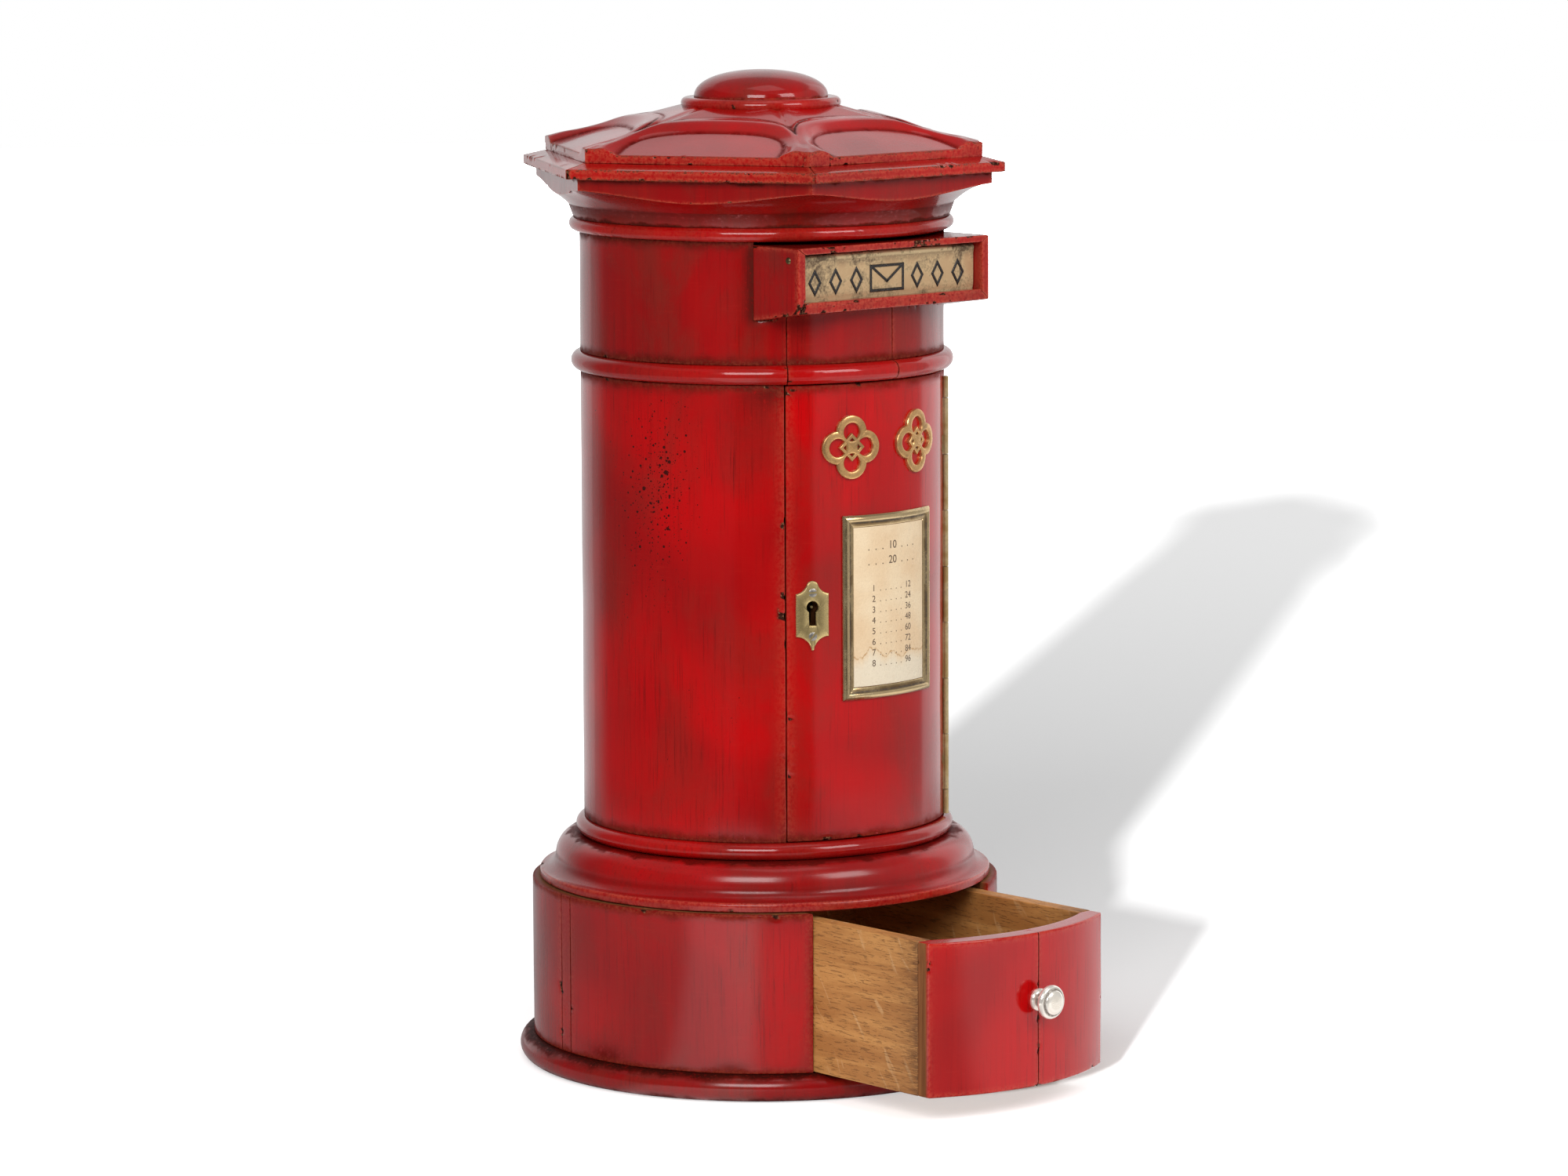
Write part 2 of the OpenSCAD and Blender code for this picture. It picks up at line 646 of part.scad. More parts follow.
// Clear height between the keyhole and the bolt
bolt_up = 1.7;
case_head_gap = 0.9;
case_half_h = key_d / 2 + bolt_up + bolt_h + case_head_gap + case_wall;
lock_half_h = case_half_h + lock_tab_h;
module at_key() at(key_a) translate([0, 0, key_z]) children();
module lock_seat() at_key() outwards(inner_r - stave_t, lock_seat_r)
    translate([lock_x - lock_w, -lock_half_h - slide_gap])
        square([2 * lock_w + slide_gap, 2 * lock_half_h + 2 * slide_gap]);

module door_panel() color(lacquer) difference() {
    intersection() {
        door_shell(inner_r, drum_r);
        sector(door_lock_a, 0, hinge_a, -jamb_t, door_z, door_h);
    }
    lock_seat();
    keyhole(inner_r - stave_t, drum_r + cut);
    at_leaf_screws(-1) screw(leaf_screw);
    at_escutcheon_screws() screw(plate_screw);
    at_lock_screws() screw(lock_screw);
}

// Hinge: its axis lies just outside the surface, so that the knuckles clear door and jamb
knuckle_clear = 0.2;
axis_r = drum_r + sqrt(pow(knuckle_r + knuckle_clear, 2) - jamb_t * jamb_t);
hinge_foot_gap = 0.3;
hinge_head_gap = 3;
hinge_z = door_z + hinge_foot_gap;
hinge_h = door_h - hinge_foot_gap - hinge_head_gap;
knuckle_l = (hinge_h - first_knuckle - last_knuckle) / (knuckle_count - 2);
knuckle_gap = 0.3;
function knuckle_foot(i) = i == 0 ? 0 : first_knuckle + (i - 1) * knuckle_l;
function knuckle_h(i) = i == 0 ? first_knuckle : i == knuckle_count - 1 ? last_knuckle : knuckle_l;
leaf_in_r = inner_r + 0.8;
leaf_out_r = axis_r - knuckle_r - slide_gap;
leaf_screw_end = 18;
leaf_screw_n = 4;
module at_leaf_screws(s) at(hinge_a) for (i = [0:leaf_screw_n - 1])
    translate([s * leaf_gap, -(leaf_in_r + leaf_out_r) / 2,
        hinge_z + leaf_screw_end + i * (hinge_h - 2 * leaf_screw_end) / (leaf_screw_n - 1)])
        rotate([0, s * 90, 0]) children();

// Plate of a leaf on side s (-1 door, 1 jamb), from radius r0 to r1 and z up to z + h
module leaf_plate(s, r0, r1, z, h)
    translate([s * (leaf_gap + leaf_t / 2) - leaf_t / 2, -r1, z]) cube([leaf_t, r1 - r0, h]);

// Leaf with every second knuckle, starting at number first
module hinge_leaf(s, first) difference() {
    at(hinge_a) translate([0, 0, hinge_z]) {
        leaf_plate(s, leaf_in_r, leaf_out_r, 0, hinge_h);
        for (i = [first:2:knuckle_count - 1]) {
            z = knuckle_foot(i) + knuckle_gap / 2;
            h = knuckle_h(i) - knuckle_gap;
            translate([0, -axis_r, z]) cylinder(h = h, r = knuckle_r, $fn = 48);
            leaf_plate(s, leaf_out_r - cut, axis_r, z, h);
        }
    }
    at(hinge_a) translate([0, -axis_r, hinge_z - cut])
        cylinder(h = hinge_h + 2 * cut, r = hinge_pin_r + run, $fn = 48);
    at_leaf_screws(s) screw(leaf_screw);
}
module door_leaf() color(brass) hinge_leaf(-1, 1);
module jamb_leaf() color(brass) hinge_leaf(1, 0);
module door_leaf_screws() color(brass) at_leaf_screws(-1) slotted_screw(leaf_screw);
module jamb_leaf_screws() color(brass) at_leaf_screws(1) slotted_screw(leaf_screw);
module hinge_pin() color(brass) at(hinge_a) translate([0, -axis_r, hinge_z])
    cylinder(h = hinge_h, r = hinge_pin_r, $fn = 48);

// Escutcheon outline: straight sides, a round crest between hollow shoulders, a pointed foot
esc_z = key_z - 3.6;
esc_side = 9.75;
esc_crest = 12.6;
esc_foot = 16.2;
head_hollow_r = escutcheon_half_w - 1.45;
foot_hollow_r = escutcheon_half_w - 0.45;
head_hollow = arc([escutcheon_half_w + 0.75, esc_side + head_hollow_r], head_hollow_r, head_hollow_r, 263,
    194, 12);
foot_hollow = arc([escutcheon_half_w, -esc_side - foot_hollow_r], foot_hollow_r, foot_hollow_r, 172, 90,
    12);
crest_start = head_hollow[12] - [0, esc_crest];
crest_a = atan2(crest_start.y, crest_start.x);
crest = arc([0, esc_crest], norm(crest_start), norm(crest_start), crest_a, 90, 8);
esc_half = concat([[0, -esc_foot]], foot_hollow, head_hollow, crest);
module escutcheon_outline() polygon(concat(esc_half,
    [for (i = [len(esc_half) - 2:-1:1]) [-esc_half[i].x, esc_half[i].y]]));

// Heights of the two screws beside the keyhole and the turn of their slots
esc_screw_z = [esc_z + 10.3, esc_z - 9.6];
esc_screw_turn = [4, 48];
esc_screw_proud = 0.2;
module at_escutcheon_screws() for (i = [0, 1]) at(key_a)
    translate([0, -drum_r - escutcheon_t - esc_screw_proud, esc_screw_z[i]]) rotate([-90, 0, 0])
        rotate(esc_screw_turn[i]) children();

module escutcheon() color(brass) difference() {
    intersection() {
        at(key_a) translate([0, 0, esc_z]) outwards(inner_r, drum_r + stave_t) escutcheon_outline();
        door_shell(drum_r, drum_r + escutcheon_t);
    }
    keyhole(inner_r, drum_r + stave_t);
    at_escutcheon_screws() screw(plate_screw);
}
module escutcheon_screws() color(steel) at_escutcheon_screws() slotted_screw(plate_screw);

// Lock

lock_screw_edge = 3.2;
module at_lock_screws() at_key()
    for (x = [lock_x + lock_screw_edge, lock_x + lock_w - lock_screw_edge], s = [-1, 1])
        translate([x, -lock_case_r, s * (lock_half_h - lock_screw_edge)]) rotate([90, 0, 0]) children();

module lock_plate() color(brass) difference() {
    at_key() outwards(lock_case_r, lock_seat_r) translate([lock_x, -lock_half_h])
        square([lock_w, 2 * lock_half_h]);
    keyhole(lock_case_r - cut, lock_seat_r + cut);
    at_lock_screws() screw(lock_screw);
}
module lock_plate_screws() color(steel) at_lock_screws() slotted_screw(lock_screw);

// The bolt, shot out by its full travel, passes inside the strike plate
strike_t = 0.9;
strike_gap = 0.6;
bolt_x = lock_x + slide_gap;
bolt_r = sqrt(pow(inner_r - strike_t - strike_gap, 2) - pow(bolt_travel - bolt_x, 2));
bolt_l = case_w - case_wall - 2 * slide_gap;
bolt_z = key_d / 2 + bolt_up;
bolt_side_gap = 0.2;
key_pin_r = 0.6;
module lock_case() color(brass) at_key() {
    difference() {
        outwards(lock_case_r - lock_case_d, lock_case_r) translate([lock_x, -case_half_h])
            square([case_w, 2 * case_half_h]);
        outwards(lock_case_r - lock_case_d + case_wall, lock_case_r + cut)
            translate([lock_x + case_wall, case_wall - case_half_h])
                square([case_w - 2 * case_wall, 2 * (case_half_h - case_wall)]);
        outwards(bolt_r - bolt_t - bolt_side_gap, bolt_r + bolt_side_gap)
            translate([lock_x - cut, bolt_z - bolt_side_gap])
                square([case_wall + 2 * cut, bolt_h + 2 * bolt_side_gap]);
    }
    outwards(lock_case_r - lock_case_d + case_wall / 2, drum_r - case_wall)
        circle(r = key_pin_r, $fn = 36);
}

// Notch in the bolt that the key's bit catches
talon_w = 3.5;
talon_h = 2.5;
module lock_bolt() color(steel) at_key() outwards(bolt_r - bolt_t, bolt_r) difference() {
    translate([bolt_x, bolt_z]) square([bolt_l, bolt_h]);
    translate([-talon_w / 2, bolt_z - cut]) square([talon_w, talon_h + cut]);
}

strike_h = 22;
strike_w = 15;
strike_edge = 1;
strike_screw_end = 4;
strike_a = door_lock_a - turn(door_gap + strike_edge);
strike_z = key_z + bolt_z + bolt_h / 2;
module at_strike_screws() for (s = [-1, 1]) at(strike_a - turn(strike_w) / 2)
    translate([0, -inner_r + strike_t, strike_z + s * (strike_h / 2 - strike_screw_end)])
        rotate([90, 0, 0]) children();
module strike_plate() color(brass) difference() {
    ring_part(strike_a - turn(strike_w), strike_a, inner_r - strike_t, inner_r, strike_z - strike_h / 2,
        strike_h);
    at_strike_screws() screw(leaf_screw);
}
module strike_screws() color(steel) at_strike_screws() slotted_screw(leaf_screw);

// Notice frame: a mitred moulding bent to the door, with the card inside it
notice_z = door_z + notice_up;
notice_half_a = turn(notice_w / 2);
// Section of the moulding as shares of its width, from the outer edge inwards, and of its height
mould = [[0, 0], [0, 0.45], [0.16, 0.85], [0.32, 1], [0.48, 0.92], [0.62, 0.6], [0.82, 0.5], [1, 0.35],
    [1, 0]];
module at_stile(s) at(notice_a + s * (notice_half_a - turn(mould_w / 2))) translate([0, 0, notice_z])
    children();
// Front of a stile, cut at 45 degrees where the rails meet it and wider outwards by grow
module stile_front(s, grow) at_stile(s) outwards(inner_r, drum_r + stave_t)
    polygon([[s * (mould_w / 2 + grow), -grow], [s * (mould_w / 2 + grow), notice_h + grow],
        [-s * mould_w / 2, notice_h - mould_w], [-s * mould_w / 2, mould_w]]);
module stile(s) intersection() {
    at_stile(s) translate([0, -drum_r, 0]) linear_extrude(notice_h)
        polygon([for (p = mould) [s * mould_w * (0.5 - p.x), -p.y * mould_t]]);
    stile_front(s, 0);
}
module rail(z, s) difference() {
    rotate([0, 0, notice_a - notice_half_a - 90]) rotate_extrude(angle = 2 * notice_half_a, $fn = 180)
        polygon([for (p = mould) [drum_r + p.y * mould_t, z + s * p.x * mould_w]]);
    stile_front(-1, 1);
    stile_front(1, 1);
}
module notice_frame() color(brass) {
    stile(-1);
    stile(1);
    rail(notice_z, 1);
    rail(notice_z + notice_h, -1);
}

card_gap = 0.15;
card_seat = 0.05;
card_half_a = turn(notice_w / 2 - mould_w - card_gap);
module notice_card() color("wheat")
    ring_part(notice_a - card_half_a, notice_a + card_half_a, drum_r + card_seat,
        drum_r + card_seat + card_t,
        notice_z + mould_w + card_gap, notice_h - 2 * mould_w - 2 * card_gap);

// Two four-lobed ornaments, each with a square set cornerwise in the middle
lobe_r = 0.26 * ornament_h;
lobe_off = ornament_h / 2 - lobe_r;
lobe_line = 3.4;
lozenge_side = 1.3 * lobe_off;
lozenge_wall = 1.5;
module lobes(r) for (a = [0:90:270]) rotate(a) translate([lobe_off, 0]) circle(r = r, $fn = 60);
module ornament_outline() {
    difference() {
        lobes(lobe_r);
        lobes(lobe_r - lobe_line);
    }
    rotate(45) difference() {
        square(lozenge_side, center = true);
        square(lozenge_side - 2 * lozenge_wall, center = true);
    }
}
module ornaments() color(brass) for (s = [-1, 1]) intersection() {
    at(s * ornament_a) translate([0, 0, door_z + door_h - ornament_down])
        outwards(inner_r, drum_r + stave_t) ornament_outline();
    door_shell(drum_r, drum_r + ornament_t);
}

// Drawer, drawn shut and then pulled out

drawer_z = base_z + drawer_gap;
drawer_h = base_h - drawer_gap - drawer_head_gap;
side_front_y = front_end_t - sqrt(base_r * base_r - drawer_w * drawer_w / 4);
module pulled() translate([0, -drawer_out, 0]) children();
module front_shell() ring(base_r - front_t, base_r, drawer_z, drawer_h);

// The bottom board reaches into grooves in front, sides and back
module bottom_board() intersection() {
    bottom_w = drawer_w - 2 * side_t + 2 * groove;
    translate([-bottom_w / 2, -base_r, drawer_z + bottom_up])
        cube([bottom_w, base_r + drawer_back_y - back_t + groove, bottom_t]);
    union() {
        translate([0, 0, base_z]) cylinder(h = base_h, r = base_r - front_t + groove, $fn = 180);
        translate([-drawer_w / 2, 0, base_z]) cube([drawer_w, base_r, base_h]);
    }
}

knob_z = drawer_z + knob_up;
knob_screw_r = 2.2;
knob_nut = [4.5, 3];
module knob_bar(r, r0, r1) translate([0, 0, knob_z]) outwards(r0, r1) circle(r = r, $fn = 48);
module knob_shank() knob_bar(knob_screw_r, base_r - front_t - knob_nut[1], base_r + knob_l / 2);

module drawer_front() color(lacquer) pulled() difference() {
    intersection() {
        front_shell();
        translate([-drawer_w / 2, -base_r, drawer_z]) cube([drawer_w, base_r, drawer_h]);
    }
    for (s = [-1, 1]) translate([s * drawer_w / 2 - side_t, side_front_y, drawer_z - cut])
        cube([2 * side_t, base_r, drawer_h + 2 * cut]);
    bottom_board();
    knob_shank();
}

module drawer_side(s) color(oak) pulled() difference() {
    translate([s * (drawer_w - side_t) / 2 - side_t / 2, side_front_y, drawer_z])
        cube([side_t, drawer_back_y - side_front_y, drawer_h]);
    bottom_board();
}
module drawer_left_side() drawer_side(-1);
module drawer_right_side() drawer_side(1);

module drawer_back() color(oak) pulled() difference() {
    translate([side_t - drawer_w / 2, drawer_back_y - back_t, drawer_z])
        cube([drawer_w - 2 * side_t, back_t, drawer_h - back_drop]);
    bottom_board();
}

module drawer_bottom() color(pine) pulled() bottom_board();

// Half section of the knob as [radius, reach] from the drawer front outwards
knob_collar_r = 5.1;
knob_neck_r = 2.9;
knob_outline = [[0, 0], [knob_collar_r, 0], [knob_collar_r, 1.2], [knob_collar_r - 0.8, 2],
    [knob_neck_r, 2.8],
    [knob_neck_r, 0.42 * knob_l], [knob_r / 2, 0.49 * knob_l], [knob_r - 0.6, 0.56 * knob_l],
        [knob_r, 0.62 * knob_l],
    [knob_r, 0.72 * knob_l], [knob_r - 0.7, 0.8 * knob_l], [knob_r - 2, 0.83 * knob_l],
        [knob_r - 2.3, 0.9 * knob_l],
    [knob_r / 2, 0.97 * knob_l], [0, knob_l]];
knob_seat = 0.15;
module drawer_knob() color(steel) pulled() difference() {
    translate([0, -base_r + knob_seat, knob_z]) rotate([90, 0, 0]) rotate_extrude($fn = 72)
        polygon(knob_outline);
    front_shell();
    knob_shank();
}
module knob_screw() color(steel) pulled() {
    knob_shank();
    difference() {
        knob_bar(knob_nut[0], base_r - front_t - knob_nut[1], base_r - front_t);
        front_shell();
    }
}

plinth();
plinth_screws();
base_drum();
drawer_guides();
drawer_stop();
base_moulding();
bead_lower();
compartment_floor();
main_drum();
bead_middle();
upper_drum();
bead_upper();
cornice();
cap_core();
cap_strips();
roof();
roof_arches();
finial_disc();
finial_dome();
finial_dowel();
slot_top();
slot_bottom();
slot_left_cheek();
slot_right_cheek();
flap_pins();
flap();
flap_figures();
door_panel();
door_leaf();
door_leaf_screws();
jamb_leaf();
jamb_leaf_screws();
hinge_pin();
escutcheon();
escutcheon_screws();
lock_plate();
lock_plate_screws();
lock_case();
lock_bolt();
strike_plate();
strike_screws();
notice_frame();
notice_card();
ornaments();
drawer_front();
drawer_left_side();
drawer_right_side();
drawer_back();
drawer_bottom();
drawer_knob();
knob_screw();
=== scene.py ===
# %% [markdown]
# # A desk letter box
# The object is a round wooden letter box under red lacquer, with a drawer in its base, a hinged door, a
# posting slot with a brass flap and a six-sided roof. Its solids come from the CAD frame, in metres, with
# the front facing -Y. This lesson dresses them: most pieces that show are built again as fine surfaces,
# worked out as whole arrays of numbers, because old wood is never quite straight and its edges are worn.

# %% Load the frame
from math import cos, pi, radians, sin
from types import SimpleNamespace

import bpy
import numpy as np
from mathutils import Matrix, Vector


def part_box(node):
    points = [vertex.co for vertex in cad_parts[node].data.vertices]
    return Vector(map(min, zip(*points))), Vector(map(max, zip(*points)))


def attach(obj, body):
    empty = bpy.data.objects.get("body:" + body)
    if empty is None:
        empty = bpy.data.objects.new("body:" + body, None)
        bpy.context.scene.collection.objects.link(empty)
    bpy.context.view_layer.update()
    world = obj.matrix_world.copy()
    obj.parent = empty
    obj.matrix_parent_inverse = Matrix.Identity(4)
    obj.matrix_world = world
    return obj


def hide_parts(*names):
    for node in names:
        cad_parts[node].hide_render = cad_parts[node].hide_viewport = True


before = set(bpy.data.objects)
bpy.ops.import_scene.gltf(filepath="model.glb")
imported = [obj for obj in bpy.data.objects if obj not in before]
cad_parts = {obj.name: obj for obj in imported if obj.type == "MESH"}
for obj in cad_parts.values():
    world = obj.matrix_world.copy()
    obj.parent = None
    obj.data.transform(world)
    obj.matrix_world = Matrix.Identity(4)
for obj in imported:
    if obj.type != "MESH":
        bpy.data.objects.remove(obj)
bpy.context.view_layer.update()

# %% [markdown]
# ## Camera
# The photograph was taken with a long lens from the left of the front and a little above the box. A
# camera is placed by three directions, right, up and back, which are the columns of its matrix. They are
# built by turning a level view by yaw, pitch and roll, because each of the three was measured by itself.

# %% Camera
MM = 0.001
CAMERA_AZIMUTH, CAMERA_DISTANCE, CAMERA_HEIGHT = radians(-41.763), 2739.3, 593.9
PITCH, ROLL, YAW = radians(7.789), radians(-0.264), radians(0.201)
FOCAL_SHARE, SENSOR = 7582 / 2000, 36


def towards(azimuth, elevation=0.0):
    """Direction from the axis to an azimuth, from the front to the right, and an elevation, in radians"""
    return Vector((sin(azimuth) * cos(elevation), -cos(azimuth) * cos(elevation), sin(elevation)))


ahead, right, up = -towards(CAMERA_AZIMUTH), towards(CAMERA_AZIMUTH + pi / 2), Vector((0, 0, 1))
ahead, right = ahead * cos(YAW) + right * sin(YAW), right * cos(YAW) - ahead * sin(YAW)
ahead, up = ahead * cos(PITCH) - up * sin(PITCH), up * cos(PITCH) + ahead * sin(PITCH)
right, up = right * cos(ROLL) + up * sin(ROLL), up * cos(ROLL) - right * sin(ROLL)
lens = bpy.data.cameras.new("camera")
lens.sensor_width, lens.lens = SENSOR, FOCAL_SHARE * SENSOR
camera = bpy.data.objects.new("camera", lens)
camera.matrix_world = Matrix((right, up, -ahead)).transposed().to_4x4()
camera.location = (towards(CAMERA_AZIMUTH) * CAMERA_DISTANCE + Vector((0, 0, CAMERA_HEIGHT))) * MM
bpy.context.scene.collection.objects.link(camera)
bpy.context.scene.camera = camera
bpy.context.scene.view_settings.view_transform = "Standard"
print("lens", round(lens.lens, 2), "mm")

# %% [markdown]
# ## Nodes that read like sums
# A material is a small graph. `put` adds one node, sets its properties, and fills its inputs: a number
# stays on the input and another node's output is linked to it. A `Value` is an output that can stand in a
# sum, so that `a * b + c` adds two Math nodes and each finish below reads as a short recipe.

# %% Node helpers
def put(tree, kind, given=None, **settings):
    node = tree.nodes.new("ShaderNode" + kind)
    for key, value in settings.items():
        setattr(node, key, value)
    for key, value in (given or {}).items():
        value = getattr(value, "socket", value)
        if isinstance(value, bpy.types.NodeSocket):
            tree.links.new(value, node.inputs[key])
        else:
            node.inputs[key].default_value = value
    return node


def result(tree, kind, given=None, output=0, **settings):
    return Value(put(tree, kind, given, **settings).outputs[output])


def reckon(operation, a, b=0.0, clamp=False):
    tree = a.tree if isinstance(a, Value) else b.tree
    return result(tree, "Math", {0: a, 1: b}, operation=operation, use_clamp=clamp)


class Value:
    """A node's output that can stand in a sum: each sign adds a Math node to its tree"""

    def __init__(self, socket):
        self.socket, self.tree = socket, socket.id_data

    def __add__(self, other):
        return reckon("ADD", self, other)

    def __mul__(self, other):
        return reckon("MULTIPLY", self, other)

    def __sub__(self, other):
        return reckon("SUBTRACT", self, other)

    def __rsub__(self, other):
        return reckon("SUBTRACT", other, self)

    def __pow__(self, other):
        return reckon("POWER", self, other)


def clamped(value):
    return reckon("ADD", value, 0.0, True)


def most(first, *others):
    """The largest of several values"""
    for other in others:
        first = reckon("MAXIMUM", first, other)
    return first


def tint(code):
    """A colour written as six hexadecimal digits, as the linear numbers that Blender works with"""
    v = np.array([int(code[i:i + 2], 16) for i in (0, 2, 4)]) / 255
    v = np.where(v <= 0.04045, v / 12.92, ((v + 0.055) / 1.055) ** 2.4)
    return (*(float(x) for x in v), 1.0)


def mixed(share, a, b):
    """Colour a, replaced by colour b as far as share says"""
    a, b = (tint(c) if isinstance(c, str) else c for c in (a, b))
    return result(share.tree, "Mix", {0: share, 6: a, 7: b}, 2, data_type="RGBA", clamp_factor=True)


def rising(value, low, high, to=1.0):
    """0 below low, to above high, with a smooth step between; low above high gives a falling step"""
    given = {0: value, 1: low, 2: high, 3: 0.0, 4: to}
    return result(value.tree, "MapRange", given, interpolation_type="SMOOTHSTEP")


def scaled(vector, x, y, z):
    return result(vector.tree, "VectorMath", {0: vector, 1: (x, y, z)}, operation="MULTIPLY")


def clouds(vector, scale, detail, rough, bend=0.0):
    return result(vector.tree, "TexNoise", {
        "Vector": vector, "Scale": scale, "Detail": detail, "Roughness": rough, "Distortion": bend})


def mark(tree, name):
    """A measure that the mesh carries, and 0 where it has none of that name"""
    return result(tree, "Attribute", output="Fac", attribute_name=name)


def new_group(name, *more, **inputs):
    """An empty node group for a finish, with the given inputs, and more outputs than the usual three; returns
    its tree, its inputs by name in small letters, and the place on the object in millimetres"""
    tree = bpy.data.node_groups.new(name, "ShaderNodeTree")
    for key, value in {"Place": (0.0, 0.0, 0.0), **inputs}.items():
        kind = "Float" if isinstance(value, float) else "Vector" if len(value) == 3 else "Color"
        made = tree.interface.new_socket(name=key, in_out="INPUT", socket_type="NodeSocket" + kind)
        made.default_value = value
    for key in ("Color", "Roughness", "Height", *more):
        kind = "Color" if key == "Color" else "Float"
        tree.interface.new_socket(name=key, in_out="OUTPUT", socket_type="NodeSocket" + kind)
    sockets = tree.nodes.new("NodeGroupInput").outputs
    given = SimpleNamespace(**{s.name.lower(): Value(s) for s in sockets if s.name})
    return tree, given, scaled(given.place, 1 / MM, 1 / MM, 1 / MM)


def give_out(tree, **values):
    """Links values to a group's outputs, whose names have a space where the word here has _"""
    target = tree.nodes.new("NodeGroupOutput").inputs
    for key, value in values.items():
        tree.links.new(value.socket, target[key.replace("_", " ")])
    return tree


def new_material(name, group, fixed=None, **values):
    """A Principled material that takes its look from one group, placed with its own values"""
    material = bpy.data.materials.new(name)
    material.use_nodes = True
    tree = material.node_tree
    shader = tree.nodes["Principled BSDF"]
    for key, value in (fixed or {}).items():
        shader.inputs[key].default_value = value
    made = tree.nodes.new("ShaderNodeGroup")
    made.node_tree = group
    for key, value in values.items():
        made.inputs[key.capitalize()].default_value = value
    tree.links.new(put(tree, "TexCoord").outputs["Object"], made.inputs["Place"])
    for key, target in (("Color", "Base Color"), *((k, k) for k in ("Roughness", "Metallic", "Coat Weight"))):
        if key in made.outputs:
            tree.links.new(made.outputs[key], shader.inputs[target])
    relief = put(tree, "Bump", {"Strength": 1.0, "Distance": 0.4 * MM, "Height": made.outputs["Height"]})
    tree.links.new(relief.outputs[0], shader.inputs["Normal"])
    return material


# %% [markdown]
# ## Red lacquer
# The real finish is many thin coats of red over a brown ground, brushed upright, then a century of
# handling: brown where the coat is thin, dark dirt in the corners, fine pits, bright rubbed edges and a
# few chips down to the wood. The dark in the corners and at the feet and heads of pieces is also painted
# shade, and the bright edges are also painted highlights. One group holds it all, and each piece sets how
# bright its red is, which partly paints its light and shade, and how brown and how dirty and shaded it is.
# The upright brush lines are noise that is squeezed across and drawn out along Z.

# %% Lacquer group
tree, given, place = new_group("aged_lacquer", "Coat Weight", Glow=0.5, Brown=0.4, Foot=-1000.0, Head=2000.0,
                               Reach=5.0, Grime=0.6, Worn=0.6, Pits=0.5)
upright = scaled(place, 1.0, 1.0, 0.03)
brush = clouds(upright, 1.0, 4, 0.75)
wide_brush = clouds(upright, 0.22, 2, 0.6)
hatch = clouds(scaled(place, 0.05, 0.05, 1.0), 1.3, 2, 0.6)
fields = clouds(place, 0.011, 2, 0.5, 0.4)
patches = clouds(scaled(place, 1, 1, 0.6), 0.03, 5, 0.62, 0.6)
specks = clouds(place, 0.7, 4, 0.7)

# Bright and deep red, where each piece sets how much is bright: partly its paint's tone, partly painted
# light and shade. Then the brown ground, and the brush lines up and across
colour = mixed(rising(fields + given.glow * 0.3, 0.45, 0.80), "8c0709", "b50206")
brown = rising(patches, 0.38, 0.70) * given.brown * 0.75
colour = mixed(brown, colour, "742219")
streaky = rising(clouds(place, 0.02, 2, 0.5, 0.5), 0.35, 0.65)
colour = mixed(rising(brush, 0.50, 0.72) * (streaky * 0.5 + 0.12), colour, "560705")
colour = mixed(rising(wide_brush, 0.45, 0.75) * 0.30, colour, "a00e0a")
colour = mixed(rising(hatch, 0.60, 0.78) * 0.10, colour, "bd3020")

# Pits: cells of three sizes, each with a hole whose radius is a random share of the cell
where = most(rising(clouds(place, 0.022, 2, 0.5), 0.55, 0.68) * given.pits * 0.5, mark(tree, "pitted"))
holes = []
for scale in (0.3, 0.5, 0.9):
    cells = put(tree, "TexVoronoi", {"Vector": place, "Scale": scale, "Randomness": 1.0}).outputs
    size = result(tree, "SeparateColor", {0: cells["Color"]}) * 0.3 * where
    holes.append(rising(Value(cells["Distance"]) - size, 0.0, -0.03))
pits = most(*holes)
colour = mixed(pits * 0.95, colour, "330805")

# Darkening at the foot and head of a piece, in its hollows and where a piece marks it: dirt, and painted
# shade in the hollows and where pieces meet; the mark holds soot and the shade under the slot box
level = result(tree, "SeparateXYZ", {0: place}, 2) + (clouds(place, 0.09, 4, 0.65) - 0.5) * 5.5
ends = most(rising(level, given.foot + given.reach, given.foot), rising(level, given.head - given.reach, given.head))
dirt = most(ends ** 1.7, mark(tree, "nook"), mark(tree, "soot")) * given.grime * rising(specks, 0.2, 0.5)
colour = mixed(dirt, colour, "2c0d08")

# Rubbed edges, lighter as wear and as painted highlights; chips, cracks and raw wood
rubbed_and_highlight = mark(tree, "edge") * given.worn * rising(specks, 0.36, 0.60)
colour = mixed(rubbed_and_highlight * 0.7, colour, "c4543c")
colour = mixed(rising(rubbed_and_highlight + patches * 0.6, 0.95, 1.15) * 0.8, colour, "4a2216")
chip, raw = mark(tree, "chip"), mark(tree, "raw")
colour = mixed(rising(chip, 0.25, 0.6), colour, mixed(rising(specks, 0.5, 0.7), "2d120b", "96684c"))
# Cracks are dark joints; the same mark also paints shade into the roof's crease and round the keyhole
colour = mixed(mark(tree, "crack"), colour, "160503")
grain = clouds(scaled(place, 1, 1, 0.04), 0.5, 4, 0.7, 0.3)
colour = mixed(raw, colour, mixed(rising(grain, 0.3, 0.7), "6b4026", "8d5c38"))

matt = most(dirt, chip, raw)
relief = brush * 0.05 + patches * 0.5 + specks * 0.04 - pits * 0.4
lacquer_group = give_out(tree, Color=colour, Roughness=clamped(brush * 0.14 + brown * 0.12 + matt * 0.3 + 0.16),
                         Height=relief, Coat_Weight=rising(matt, 0.7, 0.1, 0.7))
print("lacquer group with", len(tree.nodes), "nodes")
